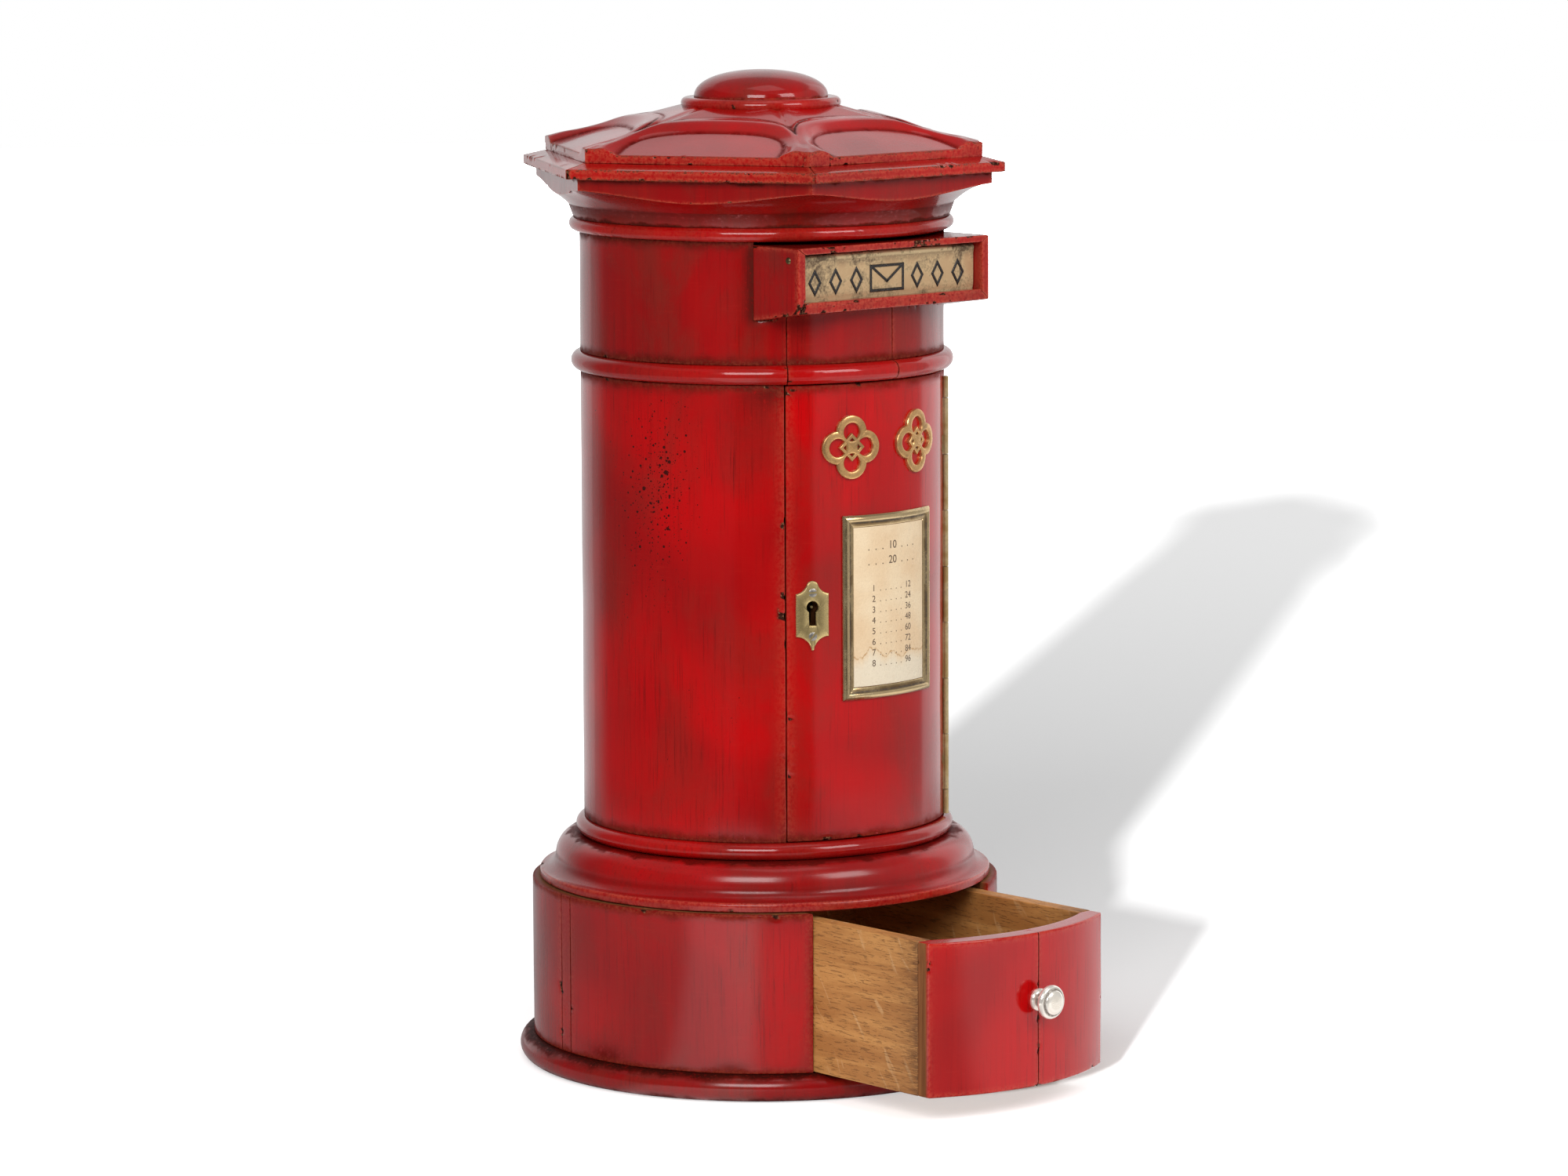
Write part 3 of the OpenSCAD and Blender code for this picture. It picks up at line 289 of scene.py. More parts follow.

# %% [markdown]
# ## Brass, steel and the plated knob
# Old brass is warm and dull on its flats, dark where dirt sits, and bright where fingers and polish reach
# its edges, a brightness that also paints highlights on them. The same group makes steel and the knob with
# other colours. Bare is how much of it looks like clean metal, and it drops where dark dirt lies on it.

# %% Metal group
tree, given, place = new_group("aged_metal", "Metallic", Flat=tint("5c4e33"), Bright=tint("e3c98c"),
                               Dirt=tint("2a1d12"), Mottle=0.5, Dull=0.3, Grain=0.03, Bare=1.0, Worn=0.9)
stains = clouds(place, given.grain, 6, 0.65, 0.5)
specks = clouds(place, 0.9, 4, 0.7)
scratches = clouds(scaled(place, 0.15, 0.15, 2.6), 1.0, 2, 0.6)
edge = mark(tree, "edge")
tarnish = rising(stains + specks * 0.35, 0.62, 0.86) * given.mottle
dark = most(tarnish, mark(tree, "nook") * rising(specks, 0.2, 0.55, 0.9))
colour = mixed(rising(stains, 0.40, 0.62, 0.5), given.flat, given.bright)
# Edges turn bright from polish wear, and as painted highlights
colour = mixed(edge * given.worn, colour, given.bright)
metal_group = give_out(tree, Color=mixed(dark, colour, given.dirt), Height=scratches * 0.03 + stains * 0.12,
                       Roughness=clamped(given.dull + dark * 0.35 + scratches * 0.12 - edge * 0.1),
                       Metallic=given.bare * rising(dark, 1.0, 0.3))

# %% [markdown]
# ## Oak and pine
# The drawer's sides are quartered oak, so the grain runs along them in fine dark pores, with broad soft
# rings and pale flecks of ray that cross the grain. The grain direction differs from piece to piece, so
# the group takes an Along vector: most of the place's measure along it is taken away, which draws the
# noise out in that direction.

# %% Wood group
tree, given, place = new_group("bare_wood", Along=(0.0, 1.0, 0.0), Pale=tint("cf9352"), Deep=tint("b0743a"),
                               Pore=tint("5f3716"), Flecks=0.5, Stain=0.25)
along = result(tree, "VectorMath", {0: place, 1: given.along}, "Value", operation="DOT_PRODUCT")
shift = result(tree, "VectorMath", {0: given.along, "Scale": along * -0.9}, operation="SCALE")
drawn = result(tree, "VectorMath", {0: place, 1: shift}, operation="ADD")
fibres = clouds(drawn, 1.6, 3, 0.7)
pores = rising(clouds(drawn, 1.3, 3, 0.75), 0.56, 0.62)
tilted = result(tree, "VectorRotate", {"Vector": place, "Axis": (1.0, 0.0, 0.0), "Angle": 0.55})
rays = rising(clouds(scaled(tilted, 0.2, 0.22, 0.04), 1.0, 2, 0.5, 0.6), 0.61, 0.71)
colour = mixed(rising(clouds(drawn, 0.12, 3, 0.5, 0.6), 0.35, 0.65), given.pale, given.deep)
colour = mixed(rising(fibres, 0.4, 0.75) * 0.4, colour, given.deep)
colour = mixed(rays * given.flecks, colour, "ddb07a")
colour = mixed(pores * 0.5, colour, given.pore)
blots = rising(clouds(place, 0.028, 4, 0.6, 0.4), 0.45, 0.75) * given.stain
streaks = mark(tree, "stain") * rising(fibres, 0.25, 0.6)
colour = mixed(most(blots, mark(tree, "nook"), streaks), colour, given.pore)
wood_group = give_out(tree, Color=colour, Roughness=fibres * 0.2 + 0.48, Height=fibres * 0.12 - pores * 0.25)

# %% [markdown]
# ## Card and black inlay
# The card in the frame is old cream paper, with a brown tide line where damp once stood and a paler foot
# below it. The black figures on the flap are hard wax or enamel, rubbed at their edges.

# %% Card and inlay groups
CARD_FOOT, TIDE_RISE, TIDE_WAVE = 183.6, 6.0, 16.0
tree, given, place = new_group("old_card")
fibre = clouds(place, 0.5, 5, 0.7)
wave = clouds(scaled(place, 1, 1, 0.15), 0.12, 4, 0.6)
tide = result(tree, "SeparateXYZ", {0: place}, 2) - (wave * TIDE_WAVE + (CARD_FOOT + TIDE_RISE))
line = rising(reckon("ABSOLUTE", tide), 0.7, 0.05) * rising(fibre, 0.35, 0.55)
colour = mixed(rising(clouds(place, 0.035, 3, 0.5), 0.35, 0.7), "e2cba8", "d8b992")
colour = mixed(rising(tide, 2.0, -6.0, 0.75), colour, "ddd2bc")
colour = mixed(rising(fibre, 0.55, 0.8, 0.25), colour, "b8946a")
card_group = give_out(tree, Color=mixed(line * 0.75, colour, "a9793c"), Roughness=rising(fibre, 0.0, 1.0, 0.7),
                      Height=fibre)

tree, given, place = new_group("worn_inlay", Ink=tint("1a1512"), Rim=tint("9c8458"))
specks = clouds(place, 0.9, 4, 0.7)
colour = mixed(rising(specks, 0.6, 0.8, 0.4), given.ink, "3a2c20")
colour = mixed(mark(tree, "edge") * rising(specks, 0.35, 0.6), colour, given.rim)
inlay_group = give_out(tree, Color=colour, Roughness=rising(specks, 0.2, 0.9, 0.55), Height=specks)
print("groups:", [g.name for g in bpy.data.node_groups])

# %% [markdown]
# ## Finishes of the pieces
# Each material is one group with its own values. The lacquer's foot and head are the heights, in
# millimetres, where dirt and painted shade gather below and above a piece, and reach is how far they spread.
# How bright each piece's red is, darker on the plinth and cornice and brighter on the door and drawer front,
# is partly its paint and partly painted light and shade. Satin is the roughness of the clear coat on top.

# %% Materials
def lacquer(name, satin=0.09, **values):
    coat = {"Specular IOR Level": 0.04, "Coat Roughness": satin, "Coat IOR": 1.5}
    return new_material(name, lacquer_group, coat, **values)


PLINTH_TOP, BASE_TOP, BEAD_LOW, MAIN_LOW, MAIN_TOP, UPPER_LOW, UPPER_TOP, NECK = (
    12.2, 85.4, 105.9, 113.8, 322.6, 331.4, 387.1, 393.3)
plinth_red = lacquer("plinth_red", satin=0.18, glow=-0.6, brown=1, foot=-0.5, head=PLINTH_TOP, reach=5,
                     grime=0.95, worn=0.9)
base_red = lacquer("base_red", glow=0.4, brown=0.6, foot=PLINTH_TOP, head=BASE_TOP, reach=6, grime=0.7, worn=0.4)
moulding_red = lacquer("moulding_red", satin=0.2, glow=0.3, brown=0.7, foot=BASE_TOP, head=BEAD_LOW, reach=2,
                       grime=0.7)
bead_red = lacquer("bead_red", glow=0.3, brown=0.6, grime=0.9, worn=0.4)
drum_red = lacquer("drum_red", glow=0.45, brown=0.55, foot=MAIN_LOW, head=MAIN_TOP, reach=8, grime=0.85,
                   worn=0.3, pits=0.9)
door_red = lacquer("door_red", glow=0.6, brown=0.6, foot=MAIN_LOW, head=MAIN_TOP, reach=8, grime=0.8, worn=0.3)
upper_red = lacquer("upper_red", glow=0, brown=1, foot=UPPER_LOW, head=UPPER_TOP, reach=7, grime=0.85, worn=0.35)
cornice_red = lacquer("cornice_red", glow=-0.4, brown=1, foot=NECK, head=415, reach=3, grime=0.9, worn=0.8)
cap_red = lacquer("cap_red", glow=0.3, brown=0.6, foot=414.5, reach=1.5, grime=0.7, worn=1, pits=0.3)
roof_red = lacquer("roof_red", glow=0.35, brown=0.55, foot=421, reach=2.5, grime=0.8, worn=0.9)
dome_red = lacquer("dome_red", glow=0.1, brown=1, foot=447, reach=2.5, grime=0.9, worn=0.9, pits=1)
disc_red = lacquer("disc_red", glow=0.2, brown=0.7, foot=441.5, reach=1.5, grime=0.8, worn=0.35)
slot_red = lacquer("slot_red", glow=0.1, brown=1, grime=0.95, worn=0.7)
front_red = lacquer("front_red", glow=0.9, brown=0.15, foot=12, head=84, reach=1.5, grime=0.7, worn=0.5)

brass = new_material("brass", metal_group, dull=0.28, mottle=0.6, bare=0.8)
frame_brass = new_material("frame_brass", metal_group, flat=tint("846a48"), bright=tint("f3d8a6"), mottle=0.55,
                           dull=0.19, grain=0.05, bare=0.9, worn=0.6)
hinge_brass = new_material("hinge_brass", metal_group, flat=tint("a88d5c"), bright=tint("f0dcae"), mottle=0.45,
                           dull=0.3, grain=0.09, bare=0.6)
flap_brass = new_material("flap_brass", metal_group, flat=tint("c0a078"), bright=tint("ecd2a2"),
                          dirt=tint("4d3a28"), mottle=0.95, dull=0.42, grain=0.075, bare=0.4)
ornament_brass = new_material("ornament_brass", metal_group, flat=tint("7d7056"), bright=tint("dbab70"),
                              mottle=0.5, dull=0.3, grain=0.1, bare=0.8)
steel = new_material("steel", metal_group, flat=tint("8c8781"), bright=tint("cfc9c0"), mottle=0.4, dull=0.3,
                     grain=0.2)
silver = new_material("silver", metal_group, flat=tint("e2dacd"), bright=tint("f6f0e6"), dirt=tint("5c5048"),
                      mottle=0.15, dull=0.2, bare=0.6)
oak_side = new_material("oak_side", wood_group, along=(0, 1, 0))
oak_across = new_material("oak_across", wood_group, along=(1, 0, 0), stain=0.5)
pine = new_material("pine", wood_group, along=(1, 0, 0), pale=tint("b98d5c"), deep=tint("96683c"), flecks=0,
                    stain=0.5)
card = new_material("card", card_group)
inlay = new_material("inlay", inlay_group)
ink = new_material("ink", inlay_group, ink=tint("54402f"), rim=tint("54402f"))
print(len(bpy.data.materials), "materials")

# %% [markdown]
# ## From arrays to meshes
# A surface here is a grid: an array of points in rows and columns, whose neighbours make quads. Closed
# shells come from wrapping a grid round, or from six grids that make a block. Where rows meet in one point,
# such as at a pole, `weld` merges the points and turns the collapsed quads into triangles or drops them.

# %% Grids, welding and noise
TINY = 1e-12


def length_of(v):
    return np.sqrt((v * v).sum(-1, keepdims=True))


def step_up(value, low, high):
    """0 below low, 1 above high and a smooth step between, for arrays"""
    share = np.clip((value - low) / (high - low), 0, 1)
    return share * share * (3 - 2 * share)


def grid(rows, columns, wrap_rows=False, wrap_columns=False):
    """Quads between neighbours in a grid whose point in row i and column j has the index i * columns + j"""
    i = np.arange(rows if wrap_rows else rows - 1)[:, None]
    j = np.arange(columns if wrap_columns else columns - 1)[None, :]
    i1, j1 = (i + 1) % rows, (j + 1) % columns
    return np.stack([i * columns + j, i1 * columns + j, i1 * columns + j1, i * columns + j1], -1).reshape(-1, 4)


def outward(points, quads):
    """A closed shell with its faces outwards: the volumes between its faces and the origin add up above 0"""
    points = points.reshape(-1, 3)
    a, b, c, d = (points[quads[:, k]] for k in range(4))
    volume = (a * (np.cross(b, c) + np.cross(c, d))).sum()
    return points, quads if volume > 0 else quads[:, ::-1]


def together(shells):
    """Several shells as one"""
    counts = np.cumsum([0] + [len(p) for p, _ in shells])
    return np.vstack([p for p, _ in shells]), np.vstack([q + n for (_, q), n in zip(shells, counts)])


def weld(points, quads, grain=2e-4):
    """Merges points that round to the same place; returns points, quads, triangles and which points were kept"""
    _, first, back = np.unique(np.round(points / grain).astype(np.int64), axis=0, return_index=True,
                               return_inverse=True)
    quads = back.reshape(-1)[quads]
    doubled = quads == np.roll(quads, -1, axis=1)
    whole = quads[~doubled.any(1)]
    once = doubled.sum(1) == 1
    return points[first], whole, quads[once][~doubled[once]].reshape(-1, 3), first


def lattice_noise(points, size, seed=0):
    """Smooth noise from -1 to 1: each corner of a lattice of cubes has a random number, and a point takes the
    mean of the eight corners of its cube, weighted by how near it is to each"""
    q = points / size
    cell = np.floor(q)
    f = q - cell
    f = f * f * (3 - 2 * f)
    total = 0
    for corner in range(8):
        o = np.array([corner & 1, corner >> 1 & 1, corner >> 2 & 1])
        h = np.sin((cell + o) @ np.array([127.1, 311.7, 74.7]) + seed * 17.31) * 43758.5453
        total = total + (h - np.floor(h)) * np.where(o, f, 1 - f).prod(1)
    return 2 * total - 1


# %% [markdown]
# ## Edges that know they are edges
# Wear sits on edges and dirt sits in corners; the lacquer and brass also paint highlights on edges and the
# lacquer paints shade in corners, so each surface measures how sharply it bends. Along the line from a point
# to its neighbour, the surface falls away by the curvature times half the distance squared. The result is
# saved as the attributes edge and nook, which the materials read, and chips are cut where a coarse noise is
# high on an edge. That is real geometry, so it also shows in the bare mesh.

# %% Normals, curvature and the finished piece
EDGE_BENDS, NOOK_BENDS = (0.06, 0.4), (0.03, 0.25)
WAVE_SIZE, CHIP_SIZE, CRUMB_SIZE, RUN_SIZE = 24, 3.1, 1.2, 17


def corner_sums(index, values, count):
    return np.stack([np.bincount(index, values[:, k], count) for k in range(values.shape[1])], 1)


def normals_of(points, faces):
    """Mean direction of the faces round each point, weighted by their area"""
    total = np.zeros_like(points)
    for f in faces:
        across = np.cross(points[f[:, 2]] - points[f[:, 0]], points[f[:, -1]] - points[f[:, 1]])
        total += corner_sums(f.reshape(-1), np.repeat(across, f.shape[1], axis=0), len(points))
    return total / np.maximum(length_of(total), TINY)


def neighbours(faces):
    a = np.concatenate([f.reshape(-1) for f in faces])
    b = np.concatenate([np.roll(f, -1, axis=1).reshape(-1) for f in faces])
    return np.concatenate([a, b]), np.concatenate([b, a])


def curvature(points, normals, faces):
    """Mean over the neighbours of -2 n.d / |d|^2, which is 1 / radius on a round edge and below 0 in a hollow"""
    a, b = neighbours(faces)
    d = points[b] - points[a]
    bend = -2 * (normals[a] * d).sum(1) / np.maximum((d * d).sum(1), 1e-3)
    return np.bincount(a, bend, len(points)) / np.maximum(np.bincount(a, minlength=len(points)), 1)


def spread(values, faces, times):
    """Each point takes the mean of itself and its neighbours, several times over"""
    a, b = neighbours(faces)
    count = np.bincount(a, minlength=len(values)) + 1
    for _ in range(times):
        values = (values + np.bincount(a, values[b], len(values))) / count
    return values


def build(name, shell, body, slot, finish, stands_for=(), wave=0.0, chips=0.0, amount=0.62, frail=None, seed=1,
          sharp=35, **marks):
    """Welds a shell given in millimetres, works out its edges, waves and chips it and makes it a piece of the
    object. Chips are as deep as chips says, where noise on an edge passes amount; frail is a place, with its
    size, that chips more; marks are further measures for the materials, one number for each point"""
    points, quads, triangles, kept = weld(*shell)
    faces = [f for f in (quads, triangles) if len(f)]
    marks = {k: np.asarray(v, float).reshape(-1)[kept] for k, v in marks.items()}
    normals = normals_of(points, faces)
    bend = curvature(points, normals, faces)
    marks["edge"] = np.clip(1.6 * spread(step_up(bend, *EDGE_BENDS), faces, 2), 0, 1)
    marks["nook"] = np.clip(2.2 * spread(step_up(-bend, *NOOK_BENDS), faces, 4), 0, 1)
    if wave:
        points = points + normals * (wave * lattice_noise(points, WAVE_SIZE, seed))[:, None]
    if chips:
        rough = lattice_noise(points, CHIP_SIZE, seed + 5) * 0.5 + lattice_noise(points, CRUMB_SIZE, seed + 7) * 0.25
        where = rough + 0.5 * lattice_noise(points, RUN_SIZE, seed + 9)
        if frail:
            where = where + 0.7 * np.exp(-(length_of(points - np.array(frail[0]))[:, 0] / frail[1]) ** 2)
        marks["chip"] = marks["edge"] * step_up(where, amount - 0.12, amount)
        points = points - normals * (chips * marks["chip"])[:, None]
    mesh = bpy.data.meshes.new(name)
    mesh.vertices.add(len(points))
    mesh.vertices.foreach_set("co", (points * MM).astype(np.float32).reshape(-1))
    corners = np.concatenate([f.reshape(-1) for f in faces])
    sizes = np.concatenate([np.full(len(f), f.shape[1]) for f in faces])
    mesh.loops.add(len(corners))
    mesh.loops.foreach_set("vertex_index", corners.astype(np.int32))
    mesh.polygons.add(len(sizes))
    mesh.polygons.foreach_set("loop_start", (np.cumsum(sizes) - sizes).astype(np.int32))
    mesh.update(calc_edges=True)
    mesh.validate()
    for key, values in marks.items():
        mesh.attributes.new(key, "FLOAT", "POINT").data.foreach_set("value", values.astype(np.float32))
    mesh.shade_smooth()
    mesh.set_sharp_from_angle(angle=radians(sharp))
    mesh.materials.append(finish)
    piece = bpy.data.objects.new(name, mesh)
    bpy.context.scene.collection.objects.link(piece)
    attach(piece, body)
    if stands_for:
        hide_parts(*stands_for)
    print(name, len(sizes), "faces")
    return piece


# %% [markdown]
# ## Turned pieces
# Moulding, beads, disc, dome and knob were made on a lathe. The mesh is made the same way: a profile of
# radius and height is rounded at its corners, divided into short steps and carried round the axis.

# %% Profiles and turning
def soften(profile, radius, n=5):
    """Replaces each corner of a closed profile by a curve that starts and ends at the given distance from it"""
    p = np.asarray(profile, float)
    back, on = np.roll(p, 1, 0) - p, np.roll(p, -1, 0) - p
    cut = np.minimum(np.broadcast_to(np.asarray(radius, float).reshape(-1, 1), (len(p), 1)),
                     0.45 * np.minimum(length_of(back), length_of(on)))
    t = np.linspace(0, 1, n)[None, :, None]
    a, b = p + back / length_of(back) * cut, p + on / length_of(on) * cut
    return ((1 - t) ** 2 * a[:, None] + 2 * t * (1 - t) * p[:, None] + t ** 2 * b[:, None]).reshape(-1, p.shape[1])


def spaced(loop, step):
    """Adds points to a closed loop so that no two are further apart than step"""
    ahead = np.roll(loop, -1, 0) - loop
    parts = np.maximum(1, np.ceil(length_of(ahead)[:, 0] / step)).astype(int)
    i = np.repeat(np.arange(len(loop)), parts)
    share = (np.arange(parts.sum()) - np.repeat(np.cumsum(parts) - parts, parts)) / parts[i]
    return loop[i] + share[:, None] * ahead[i]


def arc(centre, a, b, start, stop, n=16):
    t = np.radians(np.linspace(start, stop, n))
    return np.stack([centre[0] + a * np.cos(t), centre[1] + b * np.sin(t)], 1)


def round_axis(r, bearing, z):
    """Points at radius r, azimuth bearing in degrees from the front and height z"""
    t = np.radians(bearing)
    return np.stack(np.broadcast_arrays(r * np.sin(t), -r * np.cos(t), z), -1)


def turned(profile, columns=400, lines=()):
    """(r(s), z(s)) carried round the axis; lines are extra azimuths at which the grid has a column"""
    bearing = np.union1d(np.linspace(-180, 180, columns, endpoint=False), lines)[:, None]
    points = round_axis(profile[None, :, 0], bearing, profile[None, :, 1])
    return outward(points, grid(len(bearing), len(profile), True, True))


def azimuth_of(points):
    """Azimuth of each point in degrees from the front"""
    return np.degrees(np.arctan2(points[:, 0], -points[:, 1]))


def corners_of(node):
    low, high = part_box(node)
    return np.array(low) / MM, np.array(high) / MM


INNER_R = 75.1
CRACKS = {"bead_middle": (-34.3, 2.7), "upper_drum": (-34.3, 2.7), "base_drum": (-101.4, -97.3)}
CRACK_TURN, CRACK_DEPTH, BESIDE_CRACK = 0.2, 0.8, (-0.25, -0.1, 0, 0.1, 0.25)
CRACK_LINES = [a + d for a in CRACKS["bead_middle"] for d in BESIDE_CRACK]


def half_round(node):
    """Profile of a ring or board with a half-round edge, as high as the CAD node"""
    low, high = corners_of(node)
    half, r = (high[2] - low[2]) / 2, high[0]
    edge = arc((r - half, low[2] + half), half, half, -90, 90, 22)
    return np.vstack([[(INNER_R, low[2])], edge, [(INNER_R, high[2])]])


def grooves(turn, r, bearings):
    """1 in the middle of narrow upright grooves in a drum's outside, falling to 0 at their sides"""
    return sum(np.maximum(0, 1 - np.abs(turn - a) / CRACK_TURN) for a in bearings) * (r > INNER_R + 1)


def cracked(groove, share=1.0):
    """The mark that blackens a groove"""
    return step_up(groove, 0.2, 0.6) * share


for node, seed in (("bead_lower", 3), ("bead_middle", 4), ("bead_upper", 5)):
    ring, marks = turned(spaced(half_round(node), 0.9), 400, CRACK_LINES), {}
    if node in CRACKS:
        points, quads = ring
        r = np.hypot(points[:, 0], points[:, 1])
        groove = grooves(azimuth_of(points), r, CRACKS[node])
        ring = points * (1 - (CRACK_DEPTH * groove / r)[:, None] * np.array([1, 1, 0])), quads
        marks["crack"] = cracked(groove)
    build("turned_" + node, ring, "case", "red_lacquer", bead_red, [node], wave=0.16, chips=0.35, seed=seed, **marks)

# The ogee goes from its fillet through a hollow to where it turns, and from there over a round shoulder
OGEE_H, FILLET_H, OGEE_R, OGEE_TOP_R, TURN_OUT, TURN_UP = 20.5, 4.0, 105.0, 88.4, 0.56, 0.36
turn_r, turn_z = OGEE_TOP_R + TURN_OUT * (OGEE_R - OGEE_TOP_R), FILLET_H + TURN_UP * (OGEE_H - FILLET_H)
hollow = arc((OGEE_R - 0.6, turn_z), OGEE_R - 0.6 - turn_r, turn_z - FILLET_H - 0.4, 270, 180, 14)
shoulder = arc((OGEE_TOP_R, turn_z), turn_r - OGEE_TOP_R, OGEE_H - turn_z, 8, 90, 20)
ogee = np.vstack([[(0, 0), (OGEE_R - 1.4, 0), (OGEE_R, 0.8), (OGEE_R, FILLET_H - 0.3), (OGEE_R - 0.2, FILLET_H)],
                  hollow, shoulder, [(0, OGEE_H)]])
build("turned_moulding", turned(spaced(ogee, 1.1) + np.array([0, BASE_TOP]), 440), "case", "red_lacquer",
      moulding_red, ["base_moulding"], wave=0.2, chips=0.5, amount=0.7, seed=6)

low, high = corners_of("finial_disc")
half = (high[2] - low[2]) / 2
disc = np.vstack([[(0, low[2])], arc((high[0] - half, low[2] + half), half, half, -90, 90, 20), [(0, high[2])]])
build("turned_disc", turned(spaced(disc, 1.0), 260), "case", "red_lacquer", disc_red, ["finial_disc"], wave=0.12,
      chips=0.4, seed=7)
low, high = corners_of("finial_dome")
t, DOME_POWER = np.linspace(0, pi / 2, 60), 2 / 2.15
dome = np.stack([high[0] * np.cos(t) ** DOME_POWER, low[2] + (high[2] - low[2]) * np.sin(t) ** DOME_POWER], 1)
dome[-1, 0] = 0
build("turned_dome", turned(spaced(np.vstack([[(0, low[2])], dome]), 0.9), 300), "case", "red_lacquer", dome_red,
      ["finial_dome"], wave=0.2, chips=0.3, seed=8)

# %% [markdown]
# ## Blocks with round edges
# Boards and walls are blocks. A block's six faces are grids with extra lines near the edges. Each point
# moves towards the block that is smaller by the fillet all round, and stops at the fillet's distance from
# it, which rounds every edge and corner at once. Walls of the drums are such blocks laid round the axis.

# %% Blocks and the walls of the drums
def lines_of(size, fillet, step, extra=()):
    half = size / 2
    rim = half - fillet + fillet * np.tan(np.linspace(pi / 4, 0, 5))[:-1]
    inner = np.linspace(fillet - half, half - fillet, max(2, int(np.ceil((size - 2 * fillet) / step)) + 1))
    return np.unique(np.round(np.concatenate([-rim, inner, rim, extra]), 5))


def block(size, fillet, steps, extra=((), (), ())):
    """Closed block about the origin: p moves to q + fillet (p - q) / |p - q|, where q is p held inside the
    smaller block. Its grid lines are at most steps apart, with extra ones where they are asked for"""
    size = np.asarray(size, float)
    lines = [lines_of(*row) for row in zip(size, (fillet,) * 3, steps, extra)]
    shells = []
    for k in range(3):
        i, j = (k + 1) % 3, (k + 2) % 3
        a, b = np.meshgrid(lines[i], lines[j], indexing="ij")
        for side in (-1, 1):
            p = np.empty(a.shape + (3,))
            p[..., i], p[..., j], p[..., k] = a, b, side * size[k] / 2
            quads = grid(*a.shape)
            shells.append((p.reshape(-1, 3), quads if side > 0 else quads[:, ::-1]))
    points, quads = together(shells)
    inner = np.clip(points, fillet - size / 2, size / 2 - fillet)
    away = points - inner
    return inner + fillet * away / np.maximum(length_of(away), 1e-9), quads


def board_at(place, size, fillet, steps):
    """A block with its middle at a place"""
    points, quads = block(size, fillet, steps)
    return outward(points + place, quads)


def bent_board(size, fillet, steps, shape):
    """A block whose points are moved: shape turns x, y and z into the new three"""
    points, quads = block(size, fillet, steps)
    return outward(np.stack(shape(*points.T), 1), quads)


GROOVE_W, GROOVE_D, BESIDE_GROOVE = 0.3, 0.7, (-0.35, -0.15, 0, 0.15, 0.35)
PAINT_ENDS = (2.2, 3.4)


def upright_sway(x, z, place, amount, size, seed):
    """Moves the grid lines near a seam at x = place to the side, by noise along the height: seams aren't straight"""
    sway = lattice_noise(np.stack([z * 0, z * 0, z], 1), size, seed) * amount
    return sway * np.exp(-((x - place) / 5) ** 2)


def stave_wall(low, high, radius, thick, start, stop, steps, cracks=(), fillet=0.7):
    """Part of a drum's wall: a block whose length goes round the axis between the azimuths start(r) and stop(r);
    returns it with the marks of its cracks and of its raw wood, which starts below the paint at its ends"""
    middle = (start(radius) + stop(radius)) / 2
    length = radians(stop(radius) - start(radius)) * radius
    places = [radians(a - middle) * radius for a in cracks]
    extra = [p + d for p in places for d in BESIDE_GROOVE]
    points, quads = block((length, thick, high - low), fillet, steps, (extra, (), ()))
    x, y, z = points.T
    groove = sum((np.maximum(0, 1 - np.abs(x - p) / GROOVE_W) for p in places), 0 * x) * (y < 0.5 - thick / 2)
    x = x + sum((upright_sway(x, z, p, 0.5, 30, 2) for p in places), 0 * x)
    r = radius - (y + thick / 2) - GROOVE_D * groove
    bearing = start(r) + (x / length + 0.5) * (stop(r) - start(r))
    shell = outward(round_axis(r, bearing, z + (low + high) / 2), quads)
    return shell, {"crack": cracked(groove), "raw": step_up(y + thick / 2, *PAINT_ENDS)}


def plane_edge(bearing, offset):
    """Azimuth at radius r of an upright plane parallel to the azimuth bearing and offset to the right of it"""
    return lambda r: bearing + np.degrees(np.arcsin(offset / r))


def near(points, bearing, z, wide, tall):
    """1 at a place on a drum, falling to 0 over the given width along the surface and height"""
    turn = (azimuth_of(points) - bearing + 180) % 360 - 180
    along = np.radians(turn) * np.hypot(points[:, 0], points[:, 1])
    return np.exp(-(along / wide) ** 2 - ((points[:, 2] - z) / tall) ** 2)


DRUM_R, STAVE = 84.1, 9.0
DOOR_LOCK, HINGE, JAMB, DOOR_GAP = -34.7, 40.5, 1.1, 0.45
gap_turn = np.degrees(DOOR_GAP / DRUM_R)
wall, marks = stave_wall(MAIN_LOW, MAIN_TOP, DRUM_R, STAVE, plane_edge(HINGE, JAMB),
                         plane_edge(360 + DOOR_LOCK - gap_turn, 0), (2.6, 3, 1.6))
marks["pitted"] = near(wall[0], -74, 282, 20, 42) + 0.5 * near(wall[0], -85, 240, 25, 60)
marks["soot"] = near(wall[0], DOOR_LOCK, MAIN_TOP, 16, 9) + 0.6 * near(wall[0], DOOR_LOCK, MAIN_LOW, 8, 8)
marks["soot"] += 0.3 * near(wall[0], -46, 304, 17, 24)
build("stave_body", wall, "case", "red_lacquer", drum_red, ["main_drum"], wave=0.14, chips=0.5, seed=11, **marks)

BASE_R, BASE_WALL, WAY = 108.5, 9.5, 54.4
wall, marks = stave_wall(PLINTH_TOP, BASE_TOP, BASE_R, BASE_WALL, plane_edge(0, WAY), plane_edge(360, -WAY),
                         (2.4, 3, 1.3), [360 + a for a in CRACKS["base_drum"]])
marks["soot"] = near(wall[0], -84, PLINTH_TOP, 14, 9) + near(wall[0], -50, PLINTH_TOP, 10, 5)
marks["soot"] += near(wall[0], -30, 50, 3, 60)
build("stave_base", wall, "case", "red_lacquer", base_red, ["base_drum"], wave=0.16, chips=0.5, seed=12, **marks)

